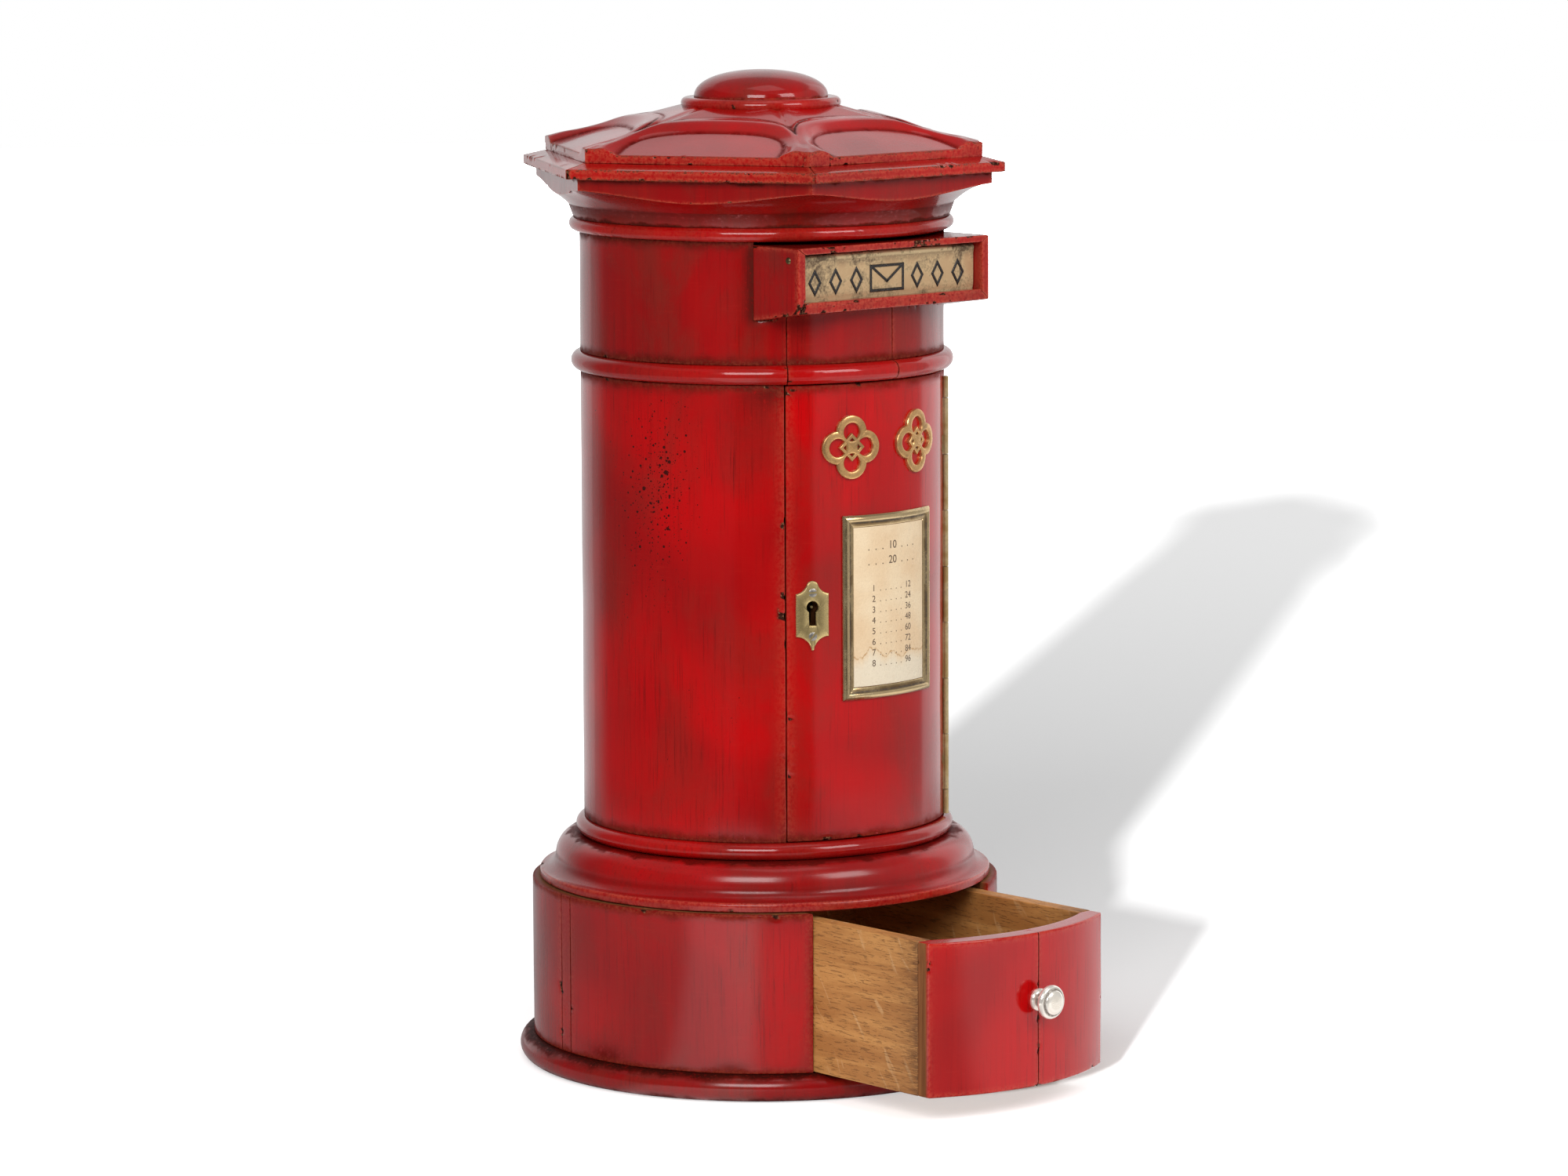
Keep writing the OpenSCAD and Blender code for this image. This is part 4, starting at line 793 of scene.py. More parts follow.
# %% [markdown]
# ## Upper drum with its notch
# The slot box sits in a notch of the upper drum. The wall's section is a closed loop of depth and height
# that goes all the way round. Inside the notch every height is held at the notch's sloping floor, so the
# upper part of the section collapses there, and welding leaves the upright sides of the notch.

# %% Upper drum
SLOT_Y, SLOT_W, SLOT_Z, SLOT_TOP, SLOT_DEPTH, SLOPE = -90.3, 117.4, 356.0, 385.4, 40.0, radians(8.5)


def floor_under(y):
    """Height of the sloping underside of the slot's box"""
    return SLOT_Z - (y - SLOT_Y) * np.tan(SLOPE)


section = [(DRUM_R, UPPER_LOW), (DRUM_R, UPPER_TOP), (INNER_R, UPPER_TOP), (INNER_R, UPPER_LOW)]
section = spaced(soften(section, 0.5), 1.5)
r, z = section[None, :, 0], section[None, :, 1]
side = np.degrees(np.arcsin(SLOT_W / 2 / r))
outer_side = np.degrees(np.arcsin(SLOT_W / 2 / DRUM_R))
crack_shares = [(a + outer_side + d) / (2 * outer_side) for a in CRACKS["upper_drum"] for d in BESIDE_CRACK]
behind, before = np.linspace(0, 1, 260)[:, None], np.union1d(np.linspace(0, 1, 110), crack_shares)[:, None]
bearing = np.vstack([side + behind * (360 - 2 * side), 360 - side + before * 2 * side])
groove = grooves((bearing + 180) % 360 - 180, r, CRACKS["upper_drum"])
around = round_axis(r - GROOVE_D * groove, bearing, np.broadcast_to(z, bearing.shape))
x, y, z = around[..., 0], around[..., 1], around[..., 2]
# Painted shade on the drum under the slot box and beside its cheeks, on the mark that also holds soot
shade_below_box = step_up(z, 338, 356) * step_up(-y, 45, 70) * 0.3
shade_beside_box = np.exp(-((np.abs(x) - SLOT_W / 2) / 3) ** 2) * step_up(z, 346, 354) * (y < 0)
soot = np.maximum(shade_below_box, shade_beside_box)
in_notch = np.arange(len(bearing))[:, None] >= len(behind)
around[..., 2] = np.where(in_notch, np.minimum(z, floor_under(y)), z)
build("stave_upper", outward(around, grid(*bearing.shape, True, True)), "case", "red_lacquer", upper_red,
      ["upper_drum"], wave=0.12, chips=0.7, amount=0.56, frail=((-58.7, -60, 352), 16), seed=13,
      crack=cracked(groove, 0.8), soot=soot, raw=np.broadcast_to(r < INNER_R + 1.5, bearing.shape))

# %% [markdown]
# ## Cornice
# The block under the roof was turned to a hollow and then cut to a hexagon, so its flat faces end below in
# scallops. On a ray at azimuth a, the hexagon lies at apothem / cos(a), and the hollow runs out to there:
# each column of the grid stops its arc where it meets the face, so the scalloped edge is a line of the grid.

# %% Cornice
CAP_Z, FASCIA_R, COVE_R = 414.7, 110.5, 36.8
FASCIA_A = FASCIA_R * cos(pi / 6)
COVE_FOOT_R, COVE_TOP_Z, COVE_PAST = 89.1, 409.5, 4.2
cove_x, cove_z = FASCIA_R + COVE_PAST, COVE_TOP_Z - np.sqrt(COVE_R ** 2 - COVE_PAST ** 2)


def hexagon_rays(count):
    """Azimuths all round, and how far each is from the middle of its side of the hexagon, in radians"""
    bearing = np.linspace(-180, 180, count, endpoint=False)[:, None]
    return bearing, np.radians(bearing - 60 * np.round(bearing / 60))


bearing, off = hexagon_rays(720)
face_r = FASCIA_A / np.cos(off)
foot_a, stop_a = (180 - np.degrees(np.arccos((cove_x - r) / COVE_R)) for r in (COVE_FOOT_R, face_r))
a = np.radians(foot_a + np.linspace(0, 1, 30)[None, :] * (stop_a - foot_a))
cove_r, cove_h = cove_x + COVE_R * np.cos(a), cove_z + COVE_R * np.sin(a)
top_h = cove_h[:, -1:]
rows = np.array([0.02, 0.05, 0.1, 0.2, 0.35, 0.5, 0.65, 0.8, 0.9, 0.96])[None, :]
ones = np.ones_like(face_r)
radius = np.hstack([0 * ones, 86.9 * ones, 88.0 * ones, cove_r[:, :-1], face_r - 0.12, face_r + 0 * rows, face_r,
                    face_r - 0.3, 0 * ones])
rise = np.hstack([NECK * ones, NECK * ones, (NECK + 3.0) * ones, cove_h[:, :-1], top_h - 0.05,
                  top_h + 0.12 + rows * (CAP_Z - top_h - 0.3), (CAP_Z - 0.3) * ones, CAP_Z * ones, CAP_Z * ones])
build("coved_cornice", outward(round_axis(radius, bearing, rise), grid(*radius.shape, True, True)), "case",
      "red_lacquer", cornice_red, ["cornice"], wave=0.15, chips=0.45, seed=14)

# %% [markdown]
# ## Cap strips and roof
# Six mitred strips go round the cap board. Each is a block whose length shrinks towards the middle, by
# tan(30) of the distance from the axis, less a hair so that the mitres show as dark lines. The roof is
# a height over its plan: six even slopes, with a panel sunk into each. The panel's border is a
# superellipse, and the height is a function of the distance outside it: a small hollow, then a round rib.

# %% Cap strips
CAP_A, ROOF_A, CORE_A, CAP_EDGE, ROOF_Z, MITRE_GAP = 101.3, 91.8, 79.3, 4.5, 421.7, 0.12
CAP_HALF, CAP_W = CAP_A * np.tan(pi / 6), CAP_A - CORE_A


def cap_strip(x, y, z):
    out_d = CAP_A - (y + CAP_W / 2)
    head = CAP_EDGE + (ROOF_Z - CAP_Z - CAP_EDGE) * np.clip((CAP_A - out_d) / (CAP_A - ROOF_A), 0, 1)
    half = out_d * np.tan(pi / 6) - MITRE_GAP
    return x / CAP_HALF * half, -out_d, CAP_Z + (z / CAP_EDGE + 0.5) * head


def turned_by(points, t):
    """Points turned round the axis, to the right of the front for an angle above 0"""
    return points @ np.array([[cos(t), sin(t), 0], [-sin(t), cos(t), 0], [0, 0, 1]])


points, quads = bent_board((2 * CAP_HALF, CAP_W, CAP_EDGE), 0.5, (0.9, 2.2, 1.0), cap_strip)
strips = together([(turned_by(points, t), quads) for t in np.radians(np.arange(0, 360, 60))])
build("mitred_strips", strips, "case", "red_lacquer", cap_red, ["cap_strips"], wave=0.12, chips=0.6, amount=0.58,
      seed=15)

# %% Roof
ROOF_EDGE_Z, ROOF_TOP_Z, ROOF_TOP_R = 425.3, 442.2, 34.2
PANEL_W, PANEL_H, PANEL_POWER = 38.0, 31.0, 2.8
RIB_W, RIB_H, RIB_POWER, RIB_T = 44.5, 44.0, 2.4, 2.5
pitch = np.arctan((ROOF_TOP_Z - ROOF_EDGE_Z) / (ROOF_A - ROOF_TOP_R))


def beyond(x, y, a, b, power):
    """Distance outside a superellipse along the ray from its middle, which is |p| (1 - 1/f) with
    f = (|x/a|^n + |y/b|^n)^(1/n)"""
    f = (np.abs(x / a) ** power + np.abs(y / b) ** power) ** (1 / power)
    return np.hypot(x, y) * (1 - 1 / np.maximum(f, 1e-3))


bearing, off = hexagon_rays(900)
inwards = np.linspace(0, 1, 96)[None, :]
d = ROOF_TOP_R + inwards * (ROOF_A - ROOF_TOP_R)
x, y = d * np.tan(off), (ROOF_A - d) / cos(pitch)
outside, past = beyond(x, y, PANEL_W, PANEL_H, PANEL_POWER), beyond(x, y, RIB_W, RIB_H, RIB_POWER)
hip = d * np.tan(pi / 6) - np.abs(x)
# The rib starts with a small step and goes on as a quarter round, with a low swelling beyond it. It sinks
# again outside the arch and between the arches, and a crease is left along its outer side, darkened with painted
# shade
rib = 0.30 * step_up(outside, -0.3, 1.3) + 0.70 * np.sin(pi / 2 * np.clip((outside - 0.9) / 6.0, 0, 1))
rib = RIB_T * rib + 0.45 * np.exp(-((outside - 8) / 3) ** 2) * step_up(hip, 0, 6)
rib = rib - 0.9 * step_up(past, 0, 3.0) * step_up(y, 15, 30) - 0.8 * np.exp(-(hip / 3.2) ** 2) * step_up(y, 5, 14)
crease = np.exp(-(past / 0.55) ** 2) * step_up(y, 24, 28) * step_up(hip, 16, 8)
tops = ROOF_EDGE_Z + y * sin(pitch) + rib / cos(pitch) - 0.3 * crease
zero, edge_z = 0 * off, tops[:, -1:]
edge_d = d[:, -1:] + zero
ring_r = np.hstack([zero, (d + zero)[:, :-1], edge_d - 0.35, edge_d - 0.1, *[edge_d] * 4, zero])
ring_z = np.hstack([ROOF_TOP_Z + zero, tops[:, :-1], edge_z, edge_z - 0.1, edge_z - 0.35,
                    *[edge_z - (edge_z - ROOF_Z) * share for share in (0.4, 0.7)], *[ROOF_Z + zero] * 2])
# The dark line of the crease is painted shade, on the mark that the cracks use
crack = np.hstack([zero, crease, np.zeros((len(off), 6))]) * 0.8
build("roof_with_ribs", outward(round_axis(ring_r / np.cos(off), bearing, ring_z), grid(*ring_r.shape, True, True)),
      "case", "red_lacquer", roof_red, ["roof", "roof_arches"], wave=0.18, chips=0.55, amount=0.5, seed=16, sharp=45,
      crack=crack)

# %% [markdown]
# ## Slot box
# Four boards with mitred corners stand in front of the drum. Each is a block whose ends, or whose upper and
# lower faces, follow the mitres, and a hair's width is left open in each joint.

# %% Slot box
CHEEK, TOP_T, FOOT_T, SLIDE, JOINT, BOARD_FILLET = 4.3, 3.0, 3.8, 0.3, 0.05, 0.45
MID_Y, CHEEK_H, LIP_H = SLOT_Y + SLOT_DEPTH / 2, 30, 2.0
FLAP_FRONT, FLAP_T, FLAP_W, FLAP_FOOT, FLAP_AXIS, LIP_UP = -84.7, 2.4, 108.0, 360.142, 379.8, 0.7
lip_back, lip_top = FLAP_FRONT - SLIDE, FLAP_FOOT + LIP_UP


def top_board(x, y, z):
    half = SLOT_W / 2 - CHEEK * (0.5 - z / TOP_T) - JOINT
    return x / (SLOT_W / 2) * half, y + MID_Y, z + SLOT_TOP - TOP_T / 2


def foot_board(x, y, z):
    half = SLOT_W / 2 - CHEEK * (0.5 + z / FOOT_T) - JOINT
    return x / (SLOT_W / 2) * half, y + MID_Y, floor_under(y + MID_Y) + (z + FOOT_T / 2) / cos(SLOPE)


def cheek_board(side):
    def shape(x, y, z):
        inset = 0.5 - side * x / CHEEK
        low = floor_under(y + MID_Y) + inset * FOOT_T / cos(SLOPE) + JOINT
        high = SLOT_TOP - inset * TOP_T - JOINT
        return x + side * (SLOT_W - CHEEK) / 2, y + MID_Y, low + (z / CHEEK_H + 0.5) * (high - low)
    return shape


top = bent_board((SLOT_W, SLOT_DEPTH, TOP_T), BOARD_FILLET, (0.9, 2, 1), top_board)
foot = bent_board((SLOT_W, SLOT_DEPTH, FOOT_T), BOARD_FILLET, (0.9, 2, 1), foot_board)
lip = (FLAP_W, lip_back - SLOT_Y, LIP_H)
lip = board_at((0, (lip_back + SLOT_Y) / 2, lip_top - LIP_H / 2), lip, 0.3, (3, 1, 1))
boards = [("slot_roof_board", top, "slot_top", 21), ("slot_floor_board", together([foot, lip]), "slot_bottom", 22)]
for side, name, seed in ((-1, "left_cheek", 22), (1, "right_cheek", 24)):
    cheek = bent_board((CHEEK, SLOT_DEPTH, CHEEK_H), BOARD_FILLET, (1, 1.4, 0.9), cheek_board(side))
    boards.append((name + "_board", cheek, "slot_" + name, seed))
for name, shell, node, seed in boards:
    build(name, shell, "case", "red_lacquer", slot_red, [node], wave=0.1, chips=0.5, amount=0.5, seed=seed)

# %% [markdown]
# ## Flap and its figures
# The flap is a bent plate: one section, with a barrel at the top for the pins and a long bevel at its foot,
# carried across the opening. Its figures are thin raised bands. A band is a surface between an inner and
# an outer outline of equally many points, with a bevel along both.

# %% Sections carried along, and bands
def capped(rows):
    """A stack of equal closed loops, closed at both ends by drawing the last loop together to its middle"""
    ends = [np.broadcast_to(rows[k].mean(0), rows[k].shape) for k in (0, -1)]
    stack = np.concatenate([ends[0][None], rows, ends[1][None]])
    return outward(stack, grid(len(stack), stack.shape[1], False, True))


def band(inner, outer, low, high, bevel):
    """Ring between two closed outlines, given as (x, y), whose section rises on both sides to a bevelled flat top"""
    share = np.array([0, 0, bevel, 1 - bevel, 1, 1, 0.5])[None, :, None]
    shoulder = high - (high - low) * 0.45
    rise = np.array([low, shoulder, high, high, shoulder, low, low])[None, :, None]
    flat = outer[:, None] * (1 - share) + inner[:, None] * share
    points = np.concatenate([flat, np.broadcast_to(rise, flat.shape[:2] + (1,))], 2)
    return outward(points, grid(len(inner), 7, True, True))


def ring_of(corners, n):
    """A closed outline through the corners, with n points along each side"""
    p = np.asarray(corners, float)
    t = np.arange(n)[None, :, None] / n
    return (p[:, None] * (1 - t) + np.roll(p, -1, 0)[:, None] * t).reshape(-1, 2)


back, BARREL_R, FOOT_BEVEL_H = FLAP_FRONT + FLAP_T, 1.7, 3.3
plate = np.vstack([[(back - 0.2, FLAP_FOOT), (FLAP_FRONT + 0.9, FLAP_FOOT), (FLAP_FRONT + 0.55, FLAP_FOOT + 0.3),
                    (FLAP_FRONT, FLAP_FOOT + FOOT_BEVEL_H)],
                   arc((FLAP_FRONT + 1.2, FLAP_AXIS), BARREL_R, BARREL_R, 225, -45, 16), [(back, FLAP_FOOT + 0.3)]])
plate = spaced(plate, 1.2)
end, shrink = np.array([0.0, 0.0, 0.06, 0.3]), np.array([0.06, 0.02, 0.006, 0])
across = np.concatenate([end, np.linspace(1.2, FLAP_W - 1.2, 90), FLAP_W - end[::-1]])
tight = 1 - np.concatenate([shrink, np.zeros(90), shrink[::-1]])
middle = plate.mean(0)
rows = middle + (plate - middle)[None] * tight[:, None, None]
rows = np.concatenate([np.broadcast_to((across - FLAP_W / 2)[:, None, None], rows.shape[:2] + (1,)), rows], 2)
build("flap_plate", capped(rows), "slot_flap", "aged_brass", flap_brass, ["flap"], wave=0.06, seed=31)

FIGURE_H, LINE, FIGURE_T, FIGURE_FOOT, FIGURE_BEVEL = 12.35, 1.3, 0.4, -0.1, 0.18
ENVELOPE_W, LOZENGE_W, LOZENGE_STEP, LOZENGE_RIM = 21.0, 7.9, 12.64, (3.1, 4.7)
FOLD_W, FOLD_FOOT = 1.2, -1.6


def box_of(w, h):
    return ring_of([(-w / 2, -h / 2), (w / 2, -h / 2), (w / 2, h / 2), (-w / 2, h / 2)], 8)


def lozenge_of(w, h):
    return ring_of([(0, -h / 2), (w / 2, 0), (0, h / 2), (-w / 2, 0)], 8)


def figure(inner, outer, place=(0, 0)):
    return band(inner + np.array(place), outer + np.array(place), FIGURE_FOOT, FIGURE_T, FIGURE_BEVEL)


figures = [figure(box_of(ENVELOPE_W - 2 * LINE, FIGURE_H - 2 * LINE), box_of(ENVELOPE_W, FIGURE_H))]
for side in (-1, 1):
    start, stop = np.array([side * (ENVELOPE_W / 2 - 0.6), FIGURE_H / 2 - 0.5]), np.array([0.0, FOLD_FOOT])
    length = np.hypot(*(stop - start))
    along = (stop - start) / length
    points, quads = block((length + 1.0, FOLD_W, FIGURE_T + 0.06), 0.15, (1, 1, 1))
    flat = (start + stop) / 2 + points[:, :1] * along + points[:, 1:2] * np.array([-along[1], along[0]])
    figures.append(outward(np.hstack([flat, points[:, 2:] + 0.13]), quads))
    inner = lozenge_of(LOZENGE_W - LOZENGE_RIM[0], FIGURE_H - LOZENGE_RIM[1])
    for i in (1, 2, 3):
        place = (side * (ENVELOPE_W / 2 + (i - 0.35) * LOZENGE_STEP), 0)
        figures.append(figure(inner, lozenge_of(LOZENGE_W, FIGURE_H), place))
points, quads = together(figures)
figure_z = (FLAP_FOOT + FLAP_AXIS - BARREL_R) / 2
points = np.stack([points[:, 0], FLAP_FRONT - points[:, 2], figure_z + points[:, 1]], 1)
build("raised_figures", (points, quads[:, ::-1]), "slot_flap", "black_inlay", inlay, ["flap_figures"], sharp=30)

# %% [markdown]
# ## Door and its fittings
# The door is the front part of the main drum's wall, so it is made like the rest of it. A keyhole and the
# lock's flat seat are cut out of it with a Boolean modifier, which is applied, and the cutter is deleted.
# The fittings are drawn flat and bent to the drum: a point at distance s along and height h above the
# surface goes to azimuth s / R and radius R + h.

# %% Door
DOOR_Z, DOOR_H = MAIN_LOW + DOOR_GAP, MAIN_TOP - MAIN_LOW - 2 * DOOR_GAP
KEY_BEARING, KEY_Z, SEAT_R, SEAT_GAP = -26.6, 221.45, 75.6, 0.3
wall, marks = stave_wall(DOOR_Z, DOOR_Z + DOOR_H, DRUM_R, STAVE, plane_edge(DOOR_LOCK, 0), plane_edge(HINGE, -JAMB),
                         (2.2, 3, 1.4))
marks["soot"] = near(wall[0], DOOR_LOCK, MAIN_TOP, 10, 5) + 0.7 * near(wall[0], HINGE, 200, 2.5, 90)
door = build("door_stave", wall, "door", "red_lacquer", door_red, ["door_panel"], wave=0.12, chips=0.5, seed=41,
             **marks)


def final_mesh(piece):
    """The mesh of an object with its modifiers, or of a text, as a new one"""
    bpy.context.view_layer.update()
    return bpy.data.meshes.new_from_object(piece.evaluated_get(bpy.context.evaluated_depsgraph_get()))


def cut_away(piece, shell, turn):
    """Takes a shell, drawn at the front and then turned round the axis, out of a piece"""
    points, quads = shell
    mesh = bpy.data.meshes.new("cutter")
    mesh.from_pydata((turned_by(points, radians(turn)) * MM).tolist(), [], quads.tolist())
    cutter = bpy.data.objects.new("cutter", mesh)
    bpy.context.scene.collection.objects.link(cutter)
    cut = piece.modifiers.new("cut", "BOOLEAN")
    cut.operation, cut.solver, cut.object = "DIFFERENCE", "EXACT", cutter
    finished = final_mesh(piece)
    piece.modifiers.clear()
    piece.data = finished
    bpy.data.objects.remove(cutter)
    bpy.data.meshes.remove(mesh)


def prism(outline, back, front):
    """A flat outline in x and z carried from one y to another"""
    outline = np.asarray(outline, float)
    rows = np.stack([np.insert(outline, 1, y, axis=1) for y in (back, front)])
    return capped(rows)


KEY_D, KEY_SLOT_W, KEY_SLOT_H = 5.5, 3.2, 8.3
edge_a = np.degrees(np.arccos(KEY_SLOT_W / KEY_D))
keyhole = np.vstack([arc((0, 0), KEY_D / 2, KEY_D / 2, -edge_a, 180 + edge_a, 28),
                     [(-KEY_SLOT_W / 2, -KEY_SLOT_H), (KEY_SLOT_W / 2, -KEY_SLOT_H)]])
IN_FRONT, BEHIND = -90, -60
cut_away(door, prism(keyhole + (0, KEY_Z), IN_FRONT, BEHIND), KEY_BEARING)
seat_x = SEAT_GAP - (SEAT_R - 1.2 - 7) * np.tan(radians(KEY_BEARING - DOOR_LOCK))
left, right = seat_x - 6, seat_x + 34
low, high = (corner[2] for corner in corners_of("lock_plate"))
seat = [(left, low - SEAT_GAP), (right, low - SEAT_GAP), (right, high + SEAT_GAP), (left, high + SEAT_GAP)]
cut_away(door, prism(seat, -SEAT_R, BEHIND), KEY_BEARING)


def points_of(mesh):
    """A mesh's points in millimetres"""
    points = np.empty(3 * len(mesh.vertices), np.float32)
    mesh.vertices.foreach_get("co", points)
    return points.reshape(-1, 3).astype(float) / MM


# The new faces have no marks, so the raw wood and the keyhole's painted shade, near black on the points
# round it, are worked out again
points = points_of(door.data)
keyhole_shade = near(points, KEY_BEARING, KEY_Z - 2.8, 4.2, 7.4) > np.exp(-1)
inside = step_up(DRUM_R - np.hypot(points[:, 0], points[:, 1]), *PAINT_ENDS)
for key, values in (("crack", keyhole_shade), ("raw", inside)):
    door.data.attributes[key].data.foreach_set("value", values.astype(np.float32))
print(int(keyhole_shade.sum()), "points round the keyhole are dark")


# %% Fittings on the door
SUNK, PLATE_DROP = 0.2, 3.6


def on_drum(shell, bearing, z, radius=DRUM_R):
    """(s, z, h) to azimuth bearing + s / R and radius R + h"""
    s, up, h = shell[0].T
    return outward(round_axis(radius + h, bearing + np.degrees(s / radius), z + up), shell[1])


def plate_with_hole(inner, outer, thick, bevel, drop):
    """A plate between two outlines of equally many points, whose upper edges are bevelled"""
    share = bevel / length_of(outer - inner)
    zero = np.zeros_like(share)
    shares = np.stack([zero, zero, 0.35 * share, share, 0.5 + zero, 1 - share, 1 - 0.35 * share, 1 + zero, 1 + zero,
                       0.5 + zero], 1)
    edge = [-SUNK, thick - drop, thick - drop * 0.35, thick]
    rise = np.array([*edge, thick, *edge[::-1], -SUNK])
    flat = outer[:, None] * (1 - shares) + inner[:, None] * shares
    points = np.concatenate([flat, np.broadcast_to(rise[None, :, None], flat.shape[:2] + (1,))], 2)
    return points.reshape(-1, 3), grid(len(inner), 10, True, True)


ESC_HALF_W, ESC_SIDE, ESC_CREST, ESC_FOOT, ESC_T = 7.65, 9.75, 12.6, 16.2, 1.2
head_r, foot_r = ESC_HALF_W - 1.45, ESC_HALF_W - 0.45
head_arc = arc((ESC_HALF_W + 0.75, ESC_SIDE + head_r), head_r, head_r, 263, 194, 12)
foot_arc = arc((ESC_HALF_W, -ESC_SIDE - foot_r), foot_r, foot_r, 172, 90, 12)
start = head_arc[-1] - np.array([0, ESC_CREST])
crest_r, crest_a = np.hypot(*start), np.degrees(np.arctan2(start[1], start[0]))
crest = arc((0, ESC_CREST), crest_r, crest_r, crest_a, 90, 8)
half = np.vstack([[(0, -ESC_FOOT)], foot_arc, head_arc, crest])
outline = spaced(np.vstack([half, half[-2:0:-1] * np.array([-1, 1])]), 0.5)
ray = outline / length_of(outline)
# The keyhole's outline has one point on each ray: where the ray leaves the circle, or else the slot below it
steep = np.maximum(np.abs(ray), 1e-6)
ahead = ray[:, 1] * PLATE_DROP
reach = np.maximum(ahead ** 2 - PLATE_DROP ** 2 + (KEY_D / 2) ** 2, 0)
to_circle = np.where((ahead > 0) & (reach > 0), ahead + np.sqrt(reach), 0)
to_slot = np.minimum(KEY_SLOT_W / 2 / steep[:, 0],
                     np.where(ray[:, 1] > 0, PLATE_DROP, KEY_SLOT_H - PLATE_DROP) / steep[:, 1])
hole = ray * np.maximum(to_circle, to_slot)[:, None]
plate = on_drum(plate_with_hole(hole, outline, ESC_T, 0.9, 0.55), KEY_BEARING, KEY_Z - PLATE_DROP)
build("keyhole_plate", plate, "door", "aged_brass", brass, ["escutcheon"], seed=42, sharp=28)

HEAD_R, HEAD_RISE, HEAD_DOME, SLIT_HALF, SLIT_D, HEAD_UNDER = 2.1, 0.5, 0.35, 0.42, 0.5, 0.3
screws = []
for up, turn in ((10.3, 4), (-9.6, 48)):
    t = np.linspace(0, 2 * pi, 48, endpoint=False)[:, None]
    r = np.linspace(0.02, 1, 14)[None, :]
    x, y = HEAD_R * r * np.cos(t), HEAD_R * r * np.sin(t)
    h = HEAD_RISE - HEAD_DOME * r ** 2 + ESC_T - SUNK
    h = h - SLIT_D * step_up(SLIT_HALF - np.abs(x * np.sin(radians(turn)) - y * np.cos(radians(turn))), 0, 0.12)
    h = np.hstack([h, 0 * t - HEAD_UNDER, 0 * t - HEAD_UNDER])
    x, y = (np.hstack([v, v[:, -1:], 0 * t]) for v in (x, y))
    shell = np.stack([x, y + up, h], -1).reshape(-1, 3), grid(*h.shape, True, False)
    screws.append(on_drum(shell, KEY_BEARING, KEY_Z - PLATE_DROP))
build("plate_screw_heads", together(screws), "door", "worn_steel", steel, ["escutcheon_screws"], sharp=25)

NOTICE_BEARING, NOTICE_W, NOTICE_H, NOTICE_Z, MOULD_W, MOULD_T = 2.3, 56.0, 84.4, 177.85, 5.6, 2.2
NOTICE_MID = NOTICE_Z + NOTICE_H / 2
mould = [(0, 0), (0, 0.45), (0.16, 0.85), (0.32, 1), (0.48, 0.92), (0.62, 0.6), (0.82, 0.5), (1, 0.35), (1, 0)]
mould = spaced(soften(np.array(mould) * (MOULD_W, MOULD_T), 0.28, 4), 0.45)
bars = []
for length, breadth, flip in ((NOTICE_W, NOTICE_H, False), (NOTICE_H, NOTICE_W, True)):
    t = np.linspace(-1, 1, int(length / 1.4))[:, None]
    for side in (-1, 1):
        along = t * (length / 2 - mould[None, :, 0] - 0.03)
        inset = side * (breadth / 2 - mould[None, :, 0]) + 0 * t
        h = mould[None, :, 1] + 0 * t
        rows = np.stack([inset, along, h] if flip else [along, inset, h], -1)
        bars.append(on_drum(capped(rows), NOTICE_BEARING, NOTICE_MID))
build("notice_moulding", together(bars), "door", "aged_brass", frame_brass, ["notice_frame"], wave=0.1, seed=43,
      sharp=50)

card_w, card_h = (size - 2 * MOULD_W - 0.3 for size in (NOTICE_W, NOTICE_H))
paper = on_drum(board_at((0, 0, 0.3), (card_w, card_h, 0.5), 0.05, (1.5, 2, 1)), NOTICE_BEARING, NOTICE_MID)
build("old_card", paper, "door", "card", card, ["notice_card"], sharp=60)

ORNAMENT_BEARING, ORNAMENT_Z, LOBE_R, LOBE_OFF, LOBE_HOLE, LOBE_T = 13.6, 293.35, 7.54, 6.96, 4.14, 1.8
SQUARE_R, SQUARE_HOLE, SQUARE_T, HAIR = 6.4, 4.28, 1.72, 0.03
t = np.radians(np.arange(0, 360, 4.5))
ray = np.stack([np.cos(t), np.sin(t)], 1)
# Each lobe ends a little past the diagonal to the next one, and every second lobe is lower by a hair
inward = np.abs(t - pi)
border = LOBE_OFF / np.sqrt(2) / np.maximum(np.cos(inward - pi / 4), 1e-3)
lobe = ray * np.minimum(np.where(inward < pi * 0.75, border, LOBE_R) + 0.6, LOBE_R)[:, None]
ornament = []
for quarter in range(4):
    points, quads = plate_with_hole(ray * LOBE_HOLE, lobe, LOBE_T - HAIR * (quarter % 2), 0.6, 0.5)
    ornament.append((turned_by(points + (LOBE_OFF, 0, 0), quarter * pi / 2), quads))
square = np.array([(1, 0), (0, 1), (-1, 0), (0, -1)])
outer, inner = (ring_of(square * size, 10) for size in (SQUARE_R, SQUARE_HOLE))
ornament.append(plate_with_hole(inner, outer, SQUARE_T, 0.45, 0.4))
points, quads = together(ornament)
both = [on_drum((points, quads), side * ORNAMENT_BEARING, ORNAMENT_Z) for side in (-1, 1)]
build("four_lobed_ornaments", together(both), "door", "aged_brass", ornament_brass, ["ornaments"], seed=44, sharp=28)

# %% [markdown]
# ## Print on the card
# The card carries a plain table of numbers joined by dots, in place of any wording. Blender's own font
# makes flat digits, which become a mesh, and the mesh is bent to the drum like the other fittings.

# %% Table of numbers
CARD_TOP = 0.57


